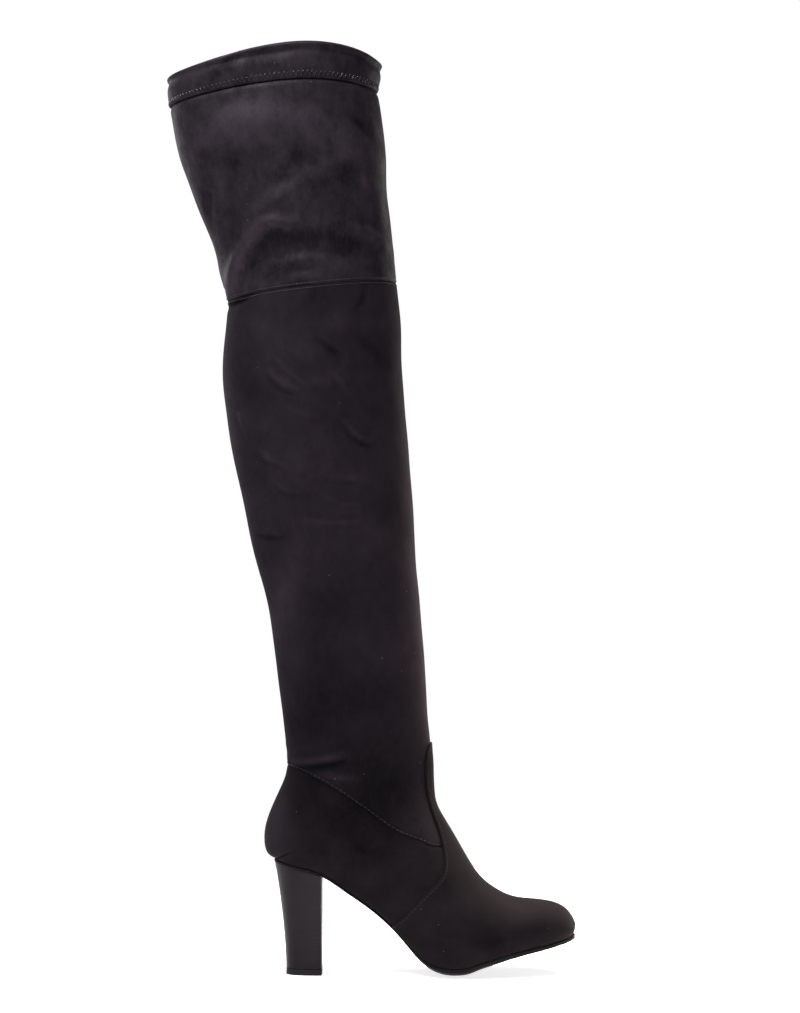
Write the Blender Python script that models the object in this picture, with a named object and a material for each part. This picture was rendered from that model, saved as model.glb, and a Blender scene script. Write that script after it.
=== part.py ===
"""Thigh high boot with a block heel, for the right foot.

Lengths are in metres and +Z is up. The origin is the middle of the heel's ground face, +X points to the toe, and
the outer side of the foot faces -Y. Each panel is cut from one of two lofted forms: the boot form, which runs from
the toe tip over the foot and up the leg to the knee seam, and the thigh form above it.
"""

import math

import bmesh
import bpy
import numpy as np

# Foot and last
FOOT_LENGTH = 0.228        # back of the counter to the toe, measured level
HEEL_SET = 0.0293          # back of the counter to the middle of the heel's ground face
BALL_WIDTH = 0.080         # upper at the ball of the foot
SEAT_HEIGHT = 0.081        # underside of the sole at the back of the heel seat
TOE_SPRING = 0.0250        # underside of the sole at the toe tip
LAST_HEIGHT = 0.080        # tallest chord of a foot section, sole to ridge
TOE_SWING = 0.005          # how far the toe turns to the inner side
TOE_ROUND = 0.040          # length over which the outline rounds off at the toe
SEAT_ROUND = 0.024         # radius of the outline at the back of the heel seat

# Leg
LEG_HEIGHT = 0.584         # heel seat to the top hem at the back
LEG_DEPTH = 0.131          # calf, front to back
LEG_WIDTH = 0.104          # calf, side to side

# Sole, insole and heel
SOLE_CROWN = 0.0052        # how far the edge of the forefoot lies above its middle
FORE_SOLE = 0.0030
WAIST_SOLE = 0.0020
SOLE_MARGIN = 0.0030       # sole past the feather edge at the forefoot
SEAT_MARGIN = 0.0010       # sole past the feather edge from waist to heel seat
INSOLE = 0.0030
INSOLE_CLEARANCE = 0.0006  # insole edge to the feather edge of the upper
HEEL_BASE_LENGTH = 0.0264
HEEL_BASE_WIDTH = 0.033
HEEL_SEAT_INSET = 0.0004   # heel block inside the edge of the sole
HEEL_BREAST = 0.0128       # breast at the seat, ahead of the middle of the ground face
TOP_PIECE = 0.0045

# Walls and gaps
UPPER_WALL = 0.0020
SHAFT_WALL = 0.0014
BAND_WALL = 0.0030
VAMP_LEATHER = 0.0011
GAP = 0.0003

# Columns: x from the back of the counter as a share of FOOT_LENGTH; the height of the sole's underside along its
# middle line, as a share of SEAT_HEIGHT plus a share of TOE_SPRING; the crown as a share of SOLE_CROWN.
SOLE_LINE = [
    ("seat back", 0.0300, 1.010, 0.00, 0.00),
    ("seat", 0.1150, 0.948, 0.00, 0.00),
    ("breast", 0.1900, 0.884, 0.00, 0.05),
    ("shank", 0.2645, 0.742, 0.00, 0.10),
    ("shank", 0.3170, 0.634, 0.00, 0.18),
    ("arch", 0.3610, 0.534, 0.00, 0.25),
    ("arch", 0.3980, 0.437, 0.00, 0.33),
    ("arch", 0.4355, 0.324, 0.00, 0.45),
    ("tread start", 0.4880, 0.147, 0.00, 0.65),
    ("tread start", 0.5230, 0.058, 0.00, 0.80),
    ("tread start", 0.5540, 0.012, 0.00, 0.90),
    ("ball", 0.5850, 0.000, -0.034, 0.98),
    ("ball", 0.6200, 0.000, -0.045, 1.00),
    ("ball", 0.6550, 0.000, 0.000, 1.00),
    ("fore", 0.6900, 0.000, 0.125, 0.98),
    ("fore", 0.7280, 0.000, 0.235, 0.95),
    ("fore", 0.7645, 0.000, 0.348, 0.88),
    ("fore", 0.8145, 0.000, 0.487, 0.74),
    ("toe", 0.8740, 0.000, 0.650, 0.48),
    ("toe", 0.9380, 0.000, 0.825, 0.22),
    ("toe tip", 0.9980, 0.000, 1.000, 0.00),
]

# Columns: x as a share of FOOT_LENGTH; half width of the feather outline to the outer and the inner side, as shares
# of BALL_WIDTH. Both ends are rounded off by a formula.
OUTLINE = [
    ("seat back", 0.030, 0.300, 0.300),
    ("seat", 0.120, 0.303, 0.303),
    ("breast", 0.200, 0.305, 0.300),
    ("shank", 0.300, 0.268, 0.255),
    ("waist", 0.400, 0.260, 0.238),
    ("tread start", 0.500, 0.325, 0.298),
    ("ball", 0.600, 0.420, 0.410),
    ("ball", 0.680, 0.450, 0.456),
    ("fore", 0.760, 0.441, 0.454),
    ("fore", 0.840, 0.408, 0.420),
    ("toe", 0.920, 0.378, 0.392),
    ("toe tip", 0.985, 0.364, 0.378),
]
FEATHER_BACK = 0.037       # share of FOOT_LENGTH where the feather edge closes round the heel seat
FEATHER_TIP = 0.985        # share of FOOT_LENGTH where it closes at the toe

# Sections of the foot, each a plane across the boot from the feather edge to the ridge.
# Columns: feather and ridge x as shares of FOOT_LENGTH; rise of the ridge over the feather as a share of
# LAST_HEIGHT; widest half width, outer and inner, as shares of BALL_WIDTH; where on the chord it is widest; the
# superellipse powers below and above that.
FOOT_SECTIONS = [
    ("toe tip", 0.985, 0.985, 0.000, 0.000, 0.000, 0.40, 2.10, 2.00),
    ("toe wall", 0.978, 0.992, 0.075, 0.122, 0.126, 0.42, 2.15, 2.02),
    ("toe wall", 0.957, 0.990, 0.140, 0.232, 0.240, 0.42, 2.20, 2.05),
    ("toe cap", 0.927, 0.969, 0.250, 0.322, 0.332, 0.40, 2.25, 2.10),
    ("toe cap", 0.885, 0.927, 0.340, 0.386, 0.398, 0.36, 2.30, 2.15),
    ("toes", 0.830, 0.865, 0.400, 0.438, 0.450, 0.33, 2.30, 2.15),
    ("toes", 0.764, 0.798, 0.470, 0.476, 0.490, 0.30, 2.30, 2.05),
    ("ball", 0.686, 0.737, 0.620, 0.498, 0.502, 0.28, 2.30, 1.90),
    ("ball", 0.598, 0.683, 0.800, 0.484, 0.478, 0.28, 2.25, 1.82),
    ("instep", 0.510, 0.639, 0.910, 0.448, 0.436, 0.30, 2.20, 1.82),
    ("instep", 0.427, 0.604, 0.845, 0.418, 0.406, 0.33, 2.20, 1.90),
    ("waist", 0.343, 0.5755, 0.765, 0.396, 0.388, 0.36, 2.20, 2.00),
    ("shank", 0.260, 0.555, 0.700, 0.382, 0.376, 0.36, 2.20, 2.08),
    ("seat", 0.181, 0.544, 0.650, 0.376, 0.371, 0.33, 2.10, 2.12),
    ("seat", 0.111, 0.5405, 0.685, 0.374, 0.369, 0.30, 1.97, 2.12),
    ("seat", 0.063, 0.539, 0.725, 0.374, 0.369, 0.275, 1.86, 2.12),
    ("seat back", 0.037, 0.538, 0.795, 0.374, 0.370, 0.265, 2.05, 2.12),
]

# Sections of the leg. Columns: back and front x as shares of LEG_DEPTH, from the middle of the ground face; height
# over SEAT_HEIGHT of the back and the front as shares of LEG_HEIGHT; widest half width as a share of LEG_WIDTH;
# where it is widest; the powers behind and ahead of that; the arch of the section's sides as a share of LEG_HEIGHT.
LEG_SECTIONS = [
    ("counter", -0.208, 0.7120, 0.0125, 0.1216, 0.290, 0.275, 2.20, 2.12, 0.0),
    ("counter", -0.2235, 0.7100, 0.0300, 0.1293, 0.291, 0.29, 2.20, 2.10, 0.0),
    ("counter", -0.2150, 0.7075, 0.0471, 0.1361, 0.293, 0.315, 2.15, 2.10, 0.0),
    ("ankle", -0.1845, 0.7055, 0.0673, 0.1438, 0.297, 0.35, 2.08, 2.08, 0.0),
    ("ankle", -0.1340, 0.7025, 0.0925, 0.1532, 0.302, 0.39, 1.98, 2.06, 0.0),
    ("ankle", -0.1005, 0.6985, 0.1139, 0.1626, 0.306, 0.425, 1.90, 2.04, 0.0),
    ("ankle", -0.1005, 0.6915, 0.1404, 0.1763, 0.310, 0.455, 1.86, 2.02, 0.0),
    ("shin", -0.1190, 0.6840, 0.1772, 0.1977, 0.317, 0.475, 1.86, 2.00, 0.0),
    ("shin", -0.1490, 0.6725, 0.2312, 0.2466, 0.332, 0.50, 1.88, 1.98, 0.0),
    ("shin", -0.2000, 0.6460, 0.3099, 0.3202, 0.366, 0.49, 1.92, 1.97, 0.0),
    ("calf", -0.2750, 0.6220, 0.3784, 0.3870, 0.400, 0.48, 1.96, 1.97, 0.0),
    ("calf", -0.3625, 0.5990, 0.4675, 0.4777, 0.443, 0.47, 2.00, 1.98, 0.0),
    ("calf", -0.4335, 0.5650, 0.5497, 0.5599, 0.476, 0.47, 2.00, 2.00, 0.0),
    ("calf", -0.4620, 0.5420, 0.6216, 0.6336, 0.493, 0.48, 2.00, 2.00, 0.0),
    ("knee", -0.4465, 0.5345, 0.6678, 0.6832, 0.498, 0.49, 2.00, 2.02, 0.0),
    ("knee seam", -0.4300, 0.5130, 0.7034, 0.7269, 0.500, 0.50, 2.00, 2.04, 0.0),
]
THIGH_SECTIONS = [
    ("knee seam", -0.4300, 0.5130, 0.7034, 0.7269, 0.500, 0.50, 2.00, 2.04, 0.0),
    ("knee back", -0.5150, 0.4900, 0.7723, 0.7877, 0.505, 0.50, 2.00, 2.05, 0.001),
    ("thigh", -0.6300, 0.4580, 0.8373, 0.8493, 0.510, 0.50, 2.05, 2.05, 0.003),
    ("thigh", -0.7140, 0.4450, 0.9007, 0.9092, 0.514, 0.50, 2.05, 2.05, 0.005),
    ("thigh", -0.7540, 0.4190, 0.9418, 0.9565, 0.515, 0.50, 2.05, 2.05, 0.0090),
    ("hem stitch", -0.7590, 0.4060, 0.9529, 0.9735, 0.512, 0.50, 2.05, 2.05, 0.0110),
    ("hem", -0.7670, 0.4190, 0.9730, 0.9920, 0.519, 0.50, 2.05, 2.05, 0.0160),
    ("hem top", -0.7670, 0.4230, 0.9854, 1.0060, 0.519, 0.50, 2.05, 2.05, 0.0195),
]
HEM_STITCH = 5             # row of THIGH_SECTIONS where the folded hem starts
HEM_TOP = 7

# Seams as seen from the side. Columns: x as a share of FOOT_LENGTH, height as a share of SEAT_HEIGHT.
COUNTER_SEAM = [
    ("behind the leg", -0.150, 2.100),
    ("back", 0.0700, 1.877),
    ("ankle", 0.1420, 1.810),
    ("ankle", 0.2380, 1.662),
    ("side", 0.3610, 1.415),
    ("side", 0.4360, 1.282),
    ("under the vamp", 0.5150, 1.195),
    ("ridge", 0.6000, 1.185),
    ("ahead of the ridge", 0.8000, 1.500),
]
VAMP_EDGE = [
    ("sole", 0.4080, 0.458),
    ("side", 0.4490, 0.547),
    ("side", 0.4880, 0.663),
    ("side", 0.5460, 0.823),
    ("side", 0.5750, 0.965),
    ("side", 0.5690, 1.170),
    ("instep", 0.5460, 1.374),
    ("instep", 0.5230, 1.575),
    ("tab", 0.5140, 1.781),
    ("tab", 0.5160, 1.960),
    ("tab top", 0.5230, 2.040),
    ("tab top", 0.5340, 2.080),
    ("ahead of the tab", 0.5800, 2.110),
]
VAMP_SKIPPED_STEPS = 2     # grid steps between the feather edge and the vamp's loft
VAMP_FLOOR_STEPS = 24
HOLLOW_START = 1.5         # section number where the hollow of the toe starts

SOLE_COLUMNS = [-1, -0.96, -0.65, -0.33, 0, 0.33, 0.65, 0.96, 1]     # shares of the half width
INSOLE_COLUMNS = [-1, -0.65, -0.33, 0, 0.33, 0.65, 1]
LOW_STEPS = 5              # grid steps round a half section, below and above its widest point
HIGH_STEPS = 7
EPSILON = 1e-3             # step, in section numbers and in turns, for the surface's slopes
TIP_NORMAL = np.array([1.0, 0.0, -0.5])
CUTTER_REACH = 0.5
MERGE = 1e-6


def natural_spline(knots, values, at):
    """The cubic curve through the rows of values at the knots, with no bend at either end."""
    knots, at = np.asarray(knots, float), np.asarray(at, float)
    values = np.asarray(values, float).reshape(len(knots), -1)
    step = np.diff(knots)
    slope = np.diff(values, axis=0) / step[:, None]
    system, right = np.eye(len(knots)), np.zeros_like(values)
    for i in range(1, len(knots) - 1):
        system[i, i - 1:i + 2] = step[i - 1], 2 * (step[i - 1] + step[i]), step[i]
        right[i] = 6 * (slope[i] - slope[i - 1])
    bend = np.linalg.solve(system, right)
    i = np.clip(np.searchsorted(knots, at, side="right") - 1, 0, len(knots) - 2)
    width = step[i][..., None]
    a = (knots[i + 1] - at)[..., None] / width
    b = 1 - a
    curve = a * values[i] + b * values[i + 1]
    return curve + ((a**3 - a) * bend[i] + (b**3 - b) * bend[i + 1]) * width**2 / 6


def column(table, index):
    return np.array([row[index] for row in table], float)


def foot_x(share):
    return np.asarray(share) * FOOT_LENGTH - HEEL_SET


def foot_share(x):
    return (np.asarray(x) + HEEL_SET) / FOOT_LENGTH


def smooth_step(value):
    t = np.clip(value, 0, 1)
    return t * t * (3 - 2 * t)


def fore_share(x):
    """0 from the heel seat to the waist and 1 from the ball forward."""
    return smooth_step((foot_share(x) - 0.42) / 0.16)


def swing(x):
    """How far the middle line of the foot lies to the inner side."""
    return TOE_SWING * smooth_step((foot_share(x) - 0.55) / 0.45)


def sole_middle(x):
    """Height of the sole's underside on its middle line, before the flat spot is worn in."""
    rows = SEAT_HEIGHT * column(SOLE_LINE, 2) + TOE_SPRING * column(SOLE_LINE, 3)
    return natural_spline(column(SOLE_LINE, 1), rows, foot_share(x))[..., 0]


def sole_crown(x):
    return SOLE_CROWN * np.interp(foot_share(x), column(SOLE_LINE, 1), column(SOLE_LINE, 4))


def sole_thickness(x):
    return WAIST_SOLE + (FORE_SOLE - WAIST_SOLE) * fore_share(x)


def outline(x, side, grow=0.0):
    """Half width of the foot's outline at x, to the outer (side -1) or the inner (+1) side, grown by grow."""
    shares = natural_spline(column(OUTLINE, 1), column(OUTLINE, 2 if side < 0 else 3), foot_share(x))[..., 0]
    to_tip = np.clip((foot_x(FEATHER_TIP) + grow - x) / TOE_ROUND, 0, 1)
    to_back = np.clip((x - foot_x(FEATHER_BACK) + grow) / SEAT_ROUND, 0, 1)
    round_off = np.sqrt(1 - (1 - to_tip) ** 2) * np.sqrt(1 - (1 - to_back) ** 2)
    return (shares * BALL_WIDTH + grow) * round_off


def crowned(x, y):
    """Height of the sole's underside at x and y: its middle line, raised towards both edges."""
    off_middle = y - swing(x)
    half = np.maximum(np.where(off_middle < 0, outline(x, -1), outline(x, 1)), MERGE)
    return sole_middle(x) + sole_crown(x) * np.minimum(np.abs(off_middle) / half, 1) ** 2


def sole_top(x, y):
    return crowned(x, y) + sole_thickness(x)


def feather_height(x):
    return sole_middle(x) + sole_crown(x) + sole_thickness(x) + GAP


def foot_rows():
    """Each foot section as base x, base z, ridge x, ridge z, widths, shape, ridge y and arch, in metres."""
    rows = []
    for _, base, ridge, rise, outer, inner, widest, low, high in FOOT_SECTIONS:
        x = float(foot_x(base))
        z = float(feather_height(x))
        ridge_x = float(foot_x(ridge))
        rows.append((x, z, ridge_x, z + rise * LAST_HEIGHT, outer * BALL_WIDTH, inner * BALL_WIDTH,
                     widest, low, high, float(swing(ridge_x)), 0.0))
    return rows


def leg_rows(sections):
    rows = []
    for _, back, front, back_z, front_z, half, widest, low, high, arch in sections:
        rows.append((back * LEG_DEPTH, SEAT_HEIGHT + back_z * LEG_HEIGHT,
                     front * LEG_DEPTH, SEAT_HEIGHT + front_z * LEG_HEIGHT,
                     half * LEG_WIDTH, half * LEG_WIDTH, widest, low, high, 0.0, arch * LEG_HEIGHT))
    return rows


class Form:
    """A surface lofted through sections.

    A section lies in the plane through its base (the feather edge, or the back of the leg), its ridge (the top of
    the foot, or the front of the leg) and the Y direction. Its half width grows from the feather's by one quarter
    of a superellipse to the widest point, and falls to the ridge by another. s counts the sections, and turn goes
    from -1, the base on the outer side, over 0, the ridge, to 1, the base on the inner side.
    """

    def __init__(self, rows, feather_end):
        self.rows = np.array(rows)
        self.knots = np.arange(len(rows), dtype=float)
        self.feather_end = feather_end

    def point(self, s, turn):
        s, turn = np.broadcast_arrays(np.asarray(s, float), np.asarray(turn, float))
        values = natural_spline(self.knots, self.rows, s)
        x0, z0, x1, z1, outer, inner, widest, low, high, ridge_y, arch = np.moveaxis(values, -1, 0)
        side = np.where(turn < 0, -1.0, 1.0)
        feather = np.where(side < 0, outline(x0, -1), outline(x0, 1)) * (s < self.feather_end)
        widest_half = np.where(side < 0, outer, inner)
        around = 1 - np.abs(turn)
        split = LOW_STEPS / (LOW_STEPS + HIGH_STEPS)
        low_angle = np.clip(around / split, 0, 1) * math.pi / 2
        high_angle = np.clip((around - split) / (1 - split), 0, 1) * math.pi / 2
        below = around < split
        sine = np.where(below, np.sin(low_angle), np.sin(high_angle))
        cosine = np.maximum(np.where(below, np.cos(low_angle), np.cos(high_angle)), 0)
        power = 2 / np.where(below, low, high)
        along = np.where(below, widest * (1 - cosine**power), widest + (1 - widest) * sine**power)
        half = np.where(below, feather + (widest_half - feather) * sine**power, widest_half * cosine**power)
        middle = swing(x0) * (s < self.feather_end)
        y = middle + along * (ridge_y - middle) + side * half
        z = z0 + along * (z1 - z0) + arch * 4 * along * (1 - along) * (0.3 + 1.2 * along)
        return np.stack([x0 + along * (x1 - x0), y, z], axis=-1)

    def normal(self, s, turn):
        """Outward unit normal, from the surface's slopes along s and turn."""
        s, turn = np.broadcast_arrays(np.asarray(s, float), np.asarray(turn, float))
        at_tip = (s == 0) & (self.feather_end > 0)
        turn = np.where((turn < 0) & (s >= self.feather_end) & (np.abs(turn) == 1), 1.0, turn)
        s0, s1 = np.maximum(s - EPSILON, 0), np.minimum(s + EPSILON, self.knots[-1])
        t0, t1 = np.maximum(turn - EPSILON, -1), np.minimum(turn + EPSILON, 1)
        along = self.point(s1, turn) - self.point(s0, turn)
        across = self.point(s, t1) - self.point(s, t0)
        normal = np.cross(across, along)
        closed_back = (np.abs(turn) == 1) & (s >= self.feather_end)
        normal[..., 1] = np.where(closed_back, 0, normal[..., 1])
        normal = np.where(at_tip[..., None], TIP_NORMAL, normal)
        return normal / np.linalg.norm(normal, axis=-1, keepdims=True)

    def offset(self, s, turn, distance):
        return self.point(s, turn) + self.normal(s, turn) * distance


BOOT = Form(foot_rows() + leg_rows(LEG_SECTIONS), feather_end=len(FOOT_SECTIONS) - 1)
THIGH = Form(leg_rows(THIGH_SECTIONS), feather_end=-1)
KNEE = len(FOOT_SECTIONS) + len(LEG_SECTIONS) - 1
RINGS = np.array([0, 0.35, 0.7, 1, 1.5, 2, 2.5, 3, 3.5, 4, 4.5, 5, 5.5, 6, 6.5, 7, 7.5, 8, 8.5, 9, 9.5, 10, 10.5,
                  11, 11.5, 12, 12.5, 13, 13.5, 14, 14.5, 15, 15.4, 15.8, 16, 16.5, 17, 17.5, 18, 19, 20, 21, 22, 23, 24, 25, 26, 27, 28, 29,
                  30, 31, KNEE])


def turns(steps_low=LOW_STEPS, steps_high=HIGH_STEPS):
    steps = steps_low + steps_high
    return np.linspace(-1, 1, 2 * steps + 1)


def clear_scene():
    for obj in list(bpy.data.objects):
        bpy.data.objects.remove(obj)


def material(name, colour, roughness, metallic=0.0):
    made = bpy.data.materials.new(name)
    made.use_nodes = True
    shader = made.node_tree.nodes["Principled BSDF"]
    shader.inputs["Base Color"].default_value = (*colour, 1)
    shader.inputs["Roughness"].default_value = roughness
    shader.inputs["Metallic"].default_value = metallic
    return made


def add_object(name, points, faces, finish, smooth=True):
    """A mesh object from points and faces, with coinciding points made one and every face turned outwards."""
    mesh = bpy.data.meshes.new(name)
    mesh.from_pydata([tuple(p) for p in points], [], faces)
    work = bmesh.new()
    work.from_mesh(mesh)
    bmesh.ops.remove_doubles(work, verts=work.verts, dist=MERGE)
    bmesh.ops.dissolve_degenerate(work, edges=work.edges, dist=MERGE)
    bmesh.ops.recalc_face_normals(work, faces=work.faces)
    if work.calc_volume(signed=True) < 0:
        bmesh.ops.reverse_faces(work, faces=work.faces)
    work.to_mesh(mesh)
    work.free()
    if smooth:
        mesh.shade_smooth()
        mesh.set_sharp_from_angle(angle=math.radians(40))
    obj = bpy.data.objects.new(name, mesh)
    obj.data.materials.append(finish)
    bpy.context.scene.collection.objects.link(obj)
    return obj


def grid_faces(rows, columns, start=0, wrap=False):
    """Triangles of a grid of points stored row by row, closed across its columns if wrap is set.

    Every grid is split along the same diagonals, so that two offsets of one form stay parallel.
    """
    faces = []
    for i in range(rows - 1):
        for j in range(columns if wrap else columns - 1):
            k = (j + 1) % columns
            a, b = start + i * columns + j, start + i * columns + k
            faces += [(a, b, b + columns), (a, b + columns, a + columns)]
    return faces


def close_toe(inside, first):
    """End the hollow of the toe with a flat wall at ring number first, where it has room for one."""
    pole = (inside[first, 0] + inside[first, -1]) / 2
    for i in range(first):
        inside[i] = pole + (inside[first] - pole) * i / first


def shell(name, form, rings, turn, inner, outer, finish, hollow_toe=False):
    """A wall between two offsets of a form, closed along all four sides of its grid.

    Where the first and last columns meet, as at the back of the leg, the two side rims coincide and are left out.
    """
    s, t = np.meshgrid(rings, turn, indexing="ij")
    outside, inside = form.offset(s, t, outer), form.offset(s, t, inner)
    if hollow_toe:
        close_toe(inside, int(np.searchsorted(rings, HOLLOW_START)))
    rows, columns = s.shape
    count = rows * columns
    points = np.concatenate([outside.reshape(-1, 3), inside.reshape(-1, 3)])
    faces = grid_faces(rows, columns) + [f[::-1] for f in grid_faces(rows, columns, count)]
    whole_turn = abs(turn[-1] - turn[0] - 2) < EPSILON
    for i in range(rows - 1):
        if whole_turn and rings[i] >= form.feather_end:
            continue
        for j in (0, columns - 1):
            a, b = i * columns + j, (i + 1) * columns + j
            faces.append((a, b, b + count, a + count))
    for i in (0, rows - 1):
        if i == 0 and rings[0] == 0 and form.feather_end > 0:
            continue
        for j in range(columns - 1):
            a = i * columns + j
            faces.append((a, a + 1, a + 1 + count, a + count))
    return add_object(name, points, faces, finish)


def prism(name, outline_points):
    """A cutter: the side view outline carried right across the boot."""
    count = len(outline_points)
    points = [(x, y, z) for y in (-CUTTER_REACH, CUTTER_REACH) for x, z in outline_points]
    faces = [tuple(range(count)), tuple(range(2 * count - 1, count - 1, -1))]
    for i in range(count):
        k = (i + 1) % count
        faces.append((i, k, count + k, count + i))
    cutter = add_object(name, points, faces, bpy.data.materials["cutter"], smooth=False)
    cutter.hide_render = True
    cutter.display_type = "WIRE"
    return cutter


def cut(obj, cutter, operation, solver="EXACT"):
    modifier = obj.modifiers.new(cutter.name, "BOOLEAN")
    modifier.operation = operation
    modifier.object = cutter
    modifier.solver = solver


def seam_points(table, shift, steps=2):
    """Points along a seam in side view, moved by shift to the right hand of the way it runs."""
    rows = np.stack([foot_x(column(table, 1)), SEAT_HEIGHT * column(table, 2)], axis=-1)
    knots = np.arange(len(table))
    at = np.linspace(0, knots[-1], steps * knots[-1] + 1)
    line = natural_spline(knots, rows, at)
    way = np.gradient(line, axis=0)
    way /= np.linalg.norm(way, axis=-1, keepdims=True)
    return line + np.stack([way[:, 1], -way[:, 0]], axis=-1) * shift


def below_counter_seam(name, shift):
    line = seam_points(COUNTER_SEAM, shift)
    corners = [(line[-1][0], -CUTTER_REACH), (line[0][0], -CUTTER_REACH)]
    return prism(name, [tuple(p) for p in line] + corners)


def ahead_of_vamp_edge(name):
    """The side view of the vamp: ahead of its edge and above the outsole, with a gap."""
    line = seam_points(VAMP_EDGE, 0.0)
    floor_x = foot_x(np.linspace(1.10, column(VAMP_EDGE, 1)[0], VAMP_FLOOR_STEPS + 1)[:-1])
    floor = np.stack([floor_x, feather_height(np.minimum(floor_x, foot_x(SOLE_LINE[-1][1])))], axis=-1)
    corner = (float(floor_x[0]), float(line[-1][1]))
    return prism(name, [tuple(p) for p in line] + [corner] + [tuple(p) for p in floor])


def make_upper(finish):
    """The foot: one hollow wall from the feather edge to the counter seam, open at the ankle and underneath."""
    rings = RINGS[RINGS <= 24]
    upper = shell("upper", BOOT, rings, turns(), -UPPER_WALL, 0.0, finish, hollow_toe=True)
    cut(upper, below_counter_seam("counter_seam_low", GAP / 2), "INTERSECT")


def make_shaft(finish):
    """The leg from the counter seam to the knee seam."""
    rings = RINGS[RINGS >= 8]
    rings[-1] = KNEE - 2 * GAP / (BOOT.rows[KNEE, 1] - BOOT.rows[KNEE - 1, 1])
    shaft = shell("shaft", BOOT, rings, turns(), -SHAFT_WALL, 0.0, finish)
    cut(shaft, below_counter_seam("counter_seam_high", -GAP / 2), "DIFFERENCE")


def make_vamp(finish):
    """The overlay from the toe up the front of the ankle, lying on the upper and the foot of the shaft."""
    rings = RINGS[RINGS <= 26]
    turn = turns()[VAMP_SKIPPED_STEPS:-VAMP_SKIPPED_STEPS]
    vamp = shell("vamp", BOOT, rings, turn, GAP, GAP + VAMP_LEATHER, finish)
    cut(vamp, ahead_of_vamp_edge("vamp_edge"), "INTERSECT", solver="MANIFOLD")


def make_thigh_panel(finish):
    rings = np.array([0, 0.5, 1, 1.5, 2, 2.5, 3, 3.5, 4, HEM_STITCH - GAP / 0.0085])
    shell("thigh_panel", THIGH, rings, turns(), -SHAFT_WALL, 0.0, finish)


def make_top_band(finish):
    """The folded hem round the top: a thicker wall with a rounded rim."""
    rings = np.array([HEM_STITCH, 5.3, 5.7, 6.2, 6.6, 6.85, HEM_TOP])
    bulge = np.array([0.0, 0.35, 0.5, 0.5, 0.4, 0.15, -0.35]) * 1e-3
    slimming = np.array([0.25, 0.0, 0.0, 0.0, 0.1, 0.35, 0.8]) * 1e-3
    s, t = np.meshgrid(rings, turns(), indexing="ij")
    outside = THIGH.offset(s, t, bulge[:, None, None])
    inside = THIGH.offset(s, t, (bulge + slimming - BAND_WALL)[:, None, None])
    loop = np.concatenate([outside, inside[::-1]])
    rows, columns = loop.shape[:2]
    faces = grid_faces(rows, columns)
    faces += [(j, j + 1, (rows - 1) * columns + j + 1, (rows - 1) * columns + j) for j in range(columns - 1)]
    add_object("top_band", loop.reshape(-1, 3), faces, finish)


def end_stations(end, first, count=4):
    """x from end to first, close together at the end as on a rounded outline."""
    angle = np.linspace(0, math.pi / 2, count + 1)[:-1]
    return end + (first - end) * (1 - np.cos(angle))


def sole_stations(grow):
    """x of the cross sections of a sole layer: those of the upper's sections, with rounded ends of its own."""
    inner = BOOT.point(RINGS[(RINGS > 3) & (RINGS < 14.6)], np.array(-1.0))[:, 0]
    back, tip = float(foot_x(FEATHER_BACK)) - grow, float(foot_x(FEATHER_TIP)) + grow
    return np.concatenate([end_stations(tip, inner[0], 5), inner, end_stations(back, inner[-1], 5)[::-1]])


def layer(name, x, across, low, high, finish):
    """A solid lofted along x. across holds y for each x and column; low and high are heights on the same grid."""
    x = np.repeat(x[:, None], across.shape[1], axis=1)
    bottom = np.stack([x, across, low], axis=-1)
    top = np.stack([x, across, high], axis=-1)
    loop = np.concatenate([bottom, top[:, ::-1]], axis=1)
    rows, columns = loop.shape[:2]
    faces = grid_faces(rows, columns, wrap=True)
    for first in (0, (rows - 1) * columns):
        for j in range(columns // 2 - 1):
            faces.append((first + j, first + j + 1, first + columns - 2 - j, first + columns - 1 - j))
    return add_object(name, loop.reshape(-1, 3), faces, finish)


def spread(x, shares, grow):
    """y at shares of the half width, for an outline grown by grow."""
    shares = np.asarray(shares)
    half = np.where(shares < 0, outline(x, -1, grow)[:, None], outline(x, 1, grow)[:, None])
    return swing(x)[:, None] + shares * half


def make_outsole(finish):
    """Full length sole, crowned across the tread, with a flat spot under the ball."""
    x = sole_stations(SOLE_MARGIN)
    margin = SEAT_MARGIN + (SOLE_MARGIN - SEAT_MARGIN) * fore_share(x)
    back = float(foot_x(FEATHER_BACK)) - SEAT_MARGIN
    x = np.maximum(x, back)
    y = np.stack([spread(x[i:i + 1], SOLE_COLUMNS, margin[i])[0]
                  for i in range(len(x))])
    grid = np.repeat(x[:, None], y.shape[1], axis=1)
    high = sole_top(grid, y)
    low = np.maximum(crowned(grid, y), 0)
    rounding = 0.3 * sole_thickness(x)
    low[:, 0] += rounding
    low[:, -1] += rounding
    layer("outsole", x, y, low, high, finish)


def make_insole(finish):
    """A padded board on the sole, inside the wall of the upper.

    The foot of that wall leans along the sole by up to its own thickness, so the board keeps inside the outline
    moved by that much either way.
    """
    inset = -INSOLE_CLEARANCE
    toe_end = float(BOOT.point(HOLLOW_START, -1.0)[0]) - INSOLE_CLEARANCE
    back_end = float(foot_x(FEATHER_BACK)) + UPPER_WALL + GAP
    x = sole_stations(inset)
    between = (x < toe_end - INSOLE_CLEARANCE) & (x > back_end + INSOLE_CLEARANCE)
    x = np.concatenate([[toe_end], x[between], [back_end]])
    ways = [spread(x + shift, INSOLE_COLUMNS, inset) - swing(x + shift)[:, None]
            for shift in (-UPPER_WALL, 0, UPPER_WALL)]
    y = swing(x)[:, None] + np.sign(INSOLE_COLUMNS) * np.min(np.abs(ways), axis=0)
    grid = np.repeat(x[:, None], y.shape[1], axis=1)
    low = sole_top(grid, y) + GAP
    layer("insole", x, y, low, low + INSOLE, finish)


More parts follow.
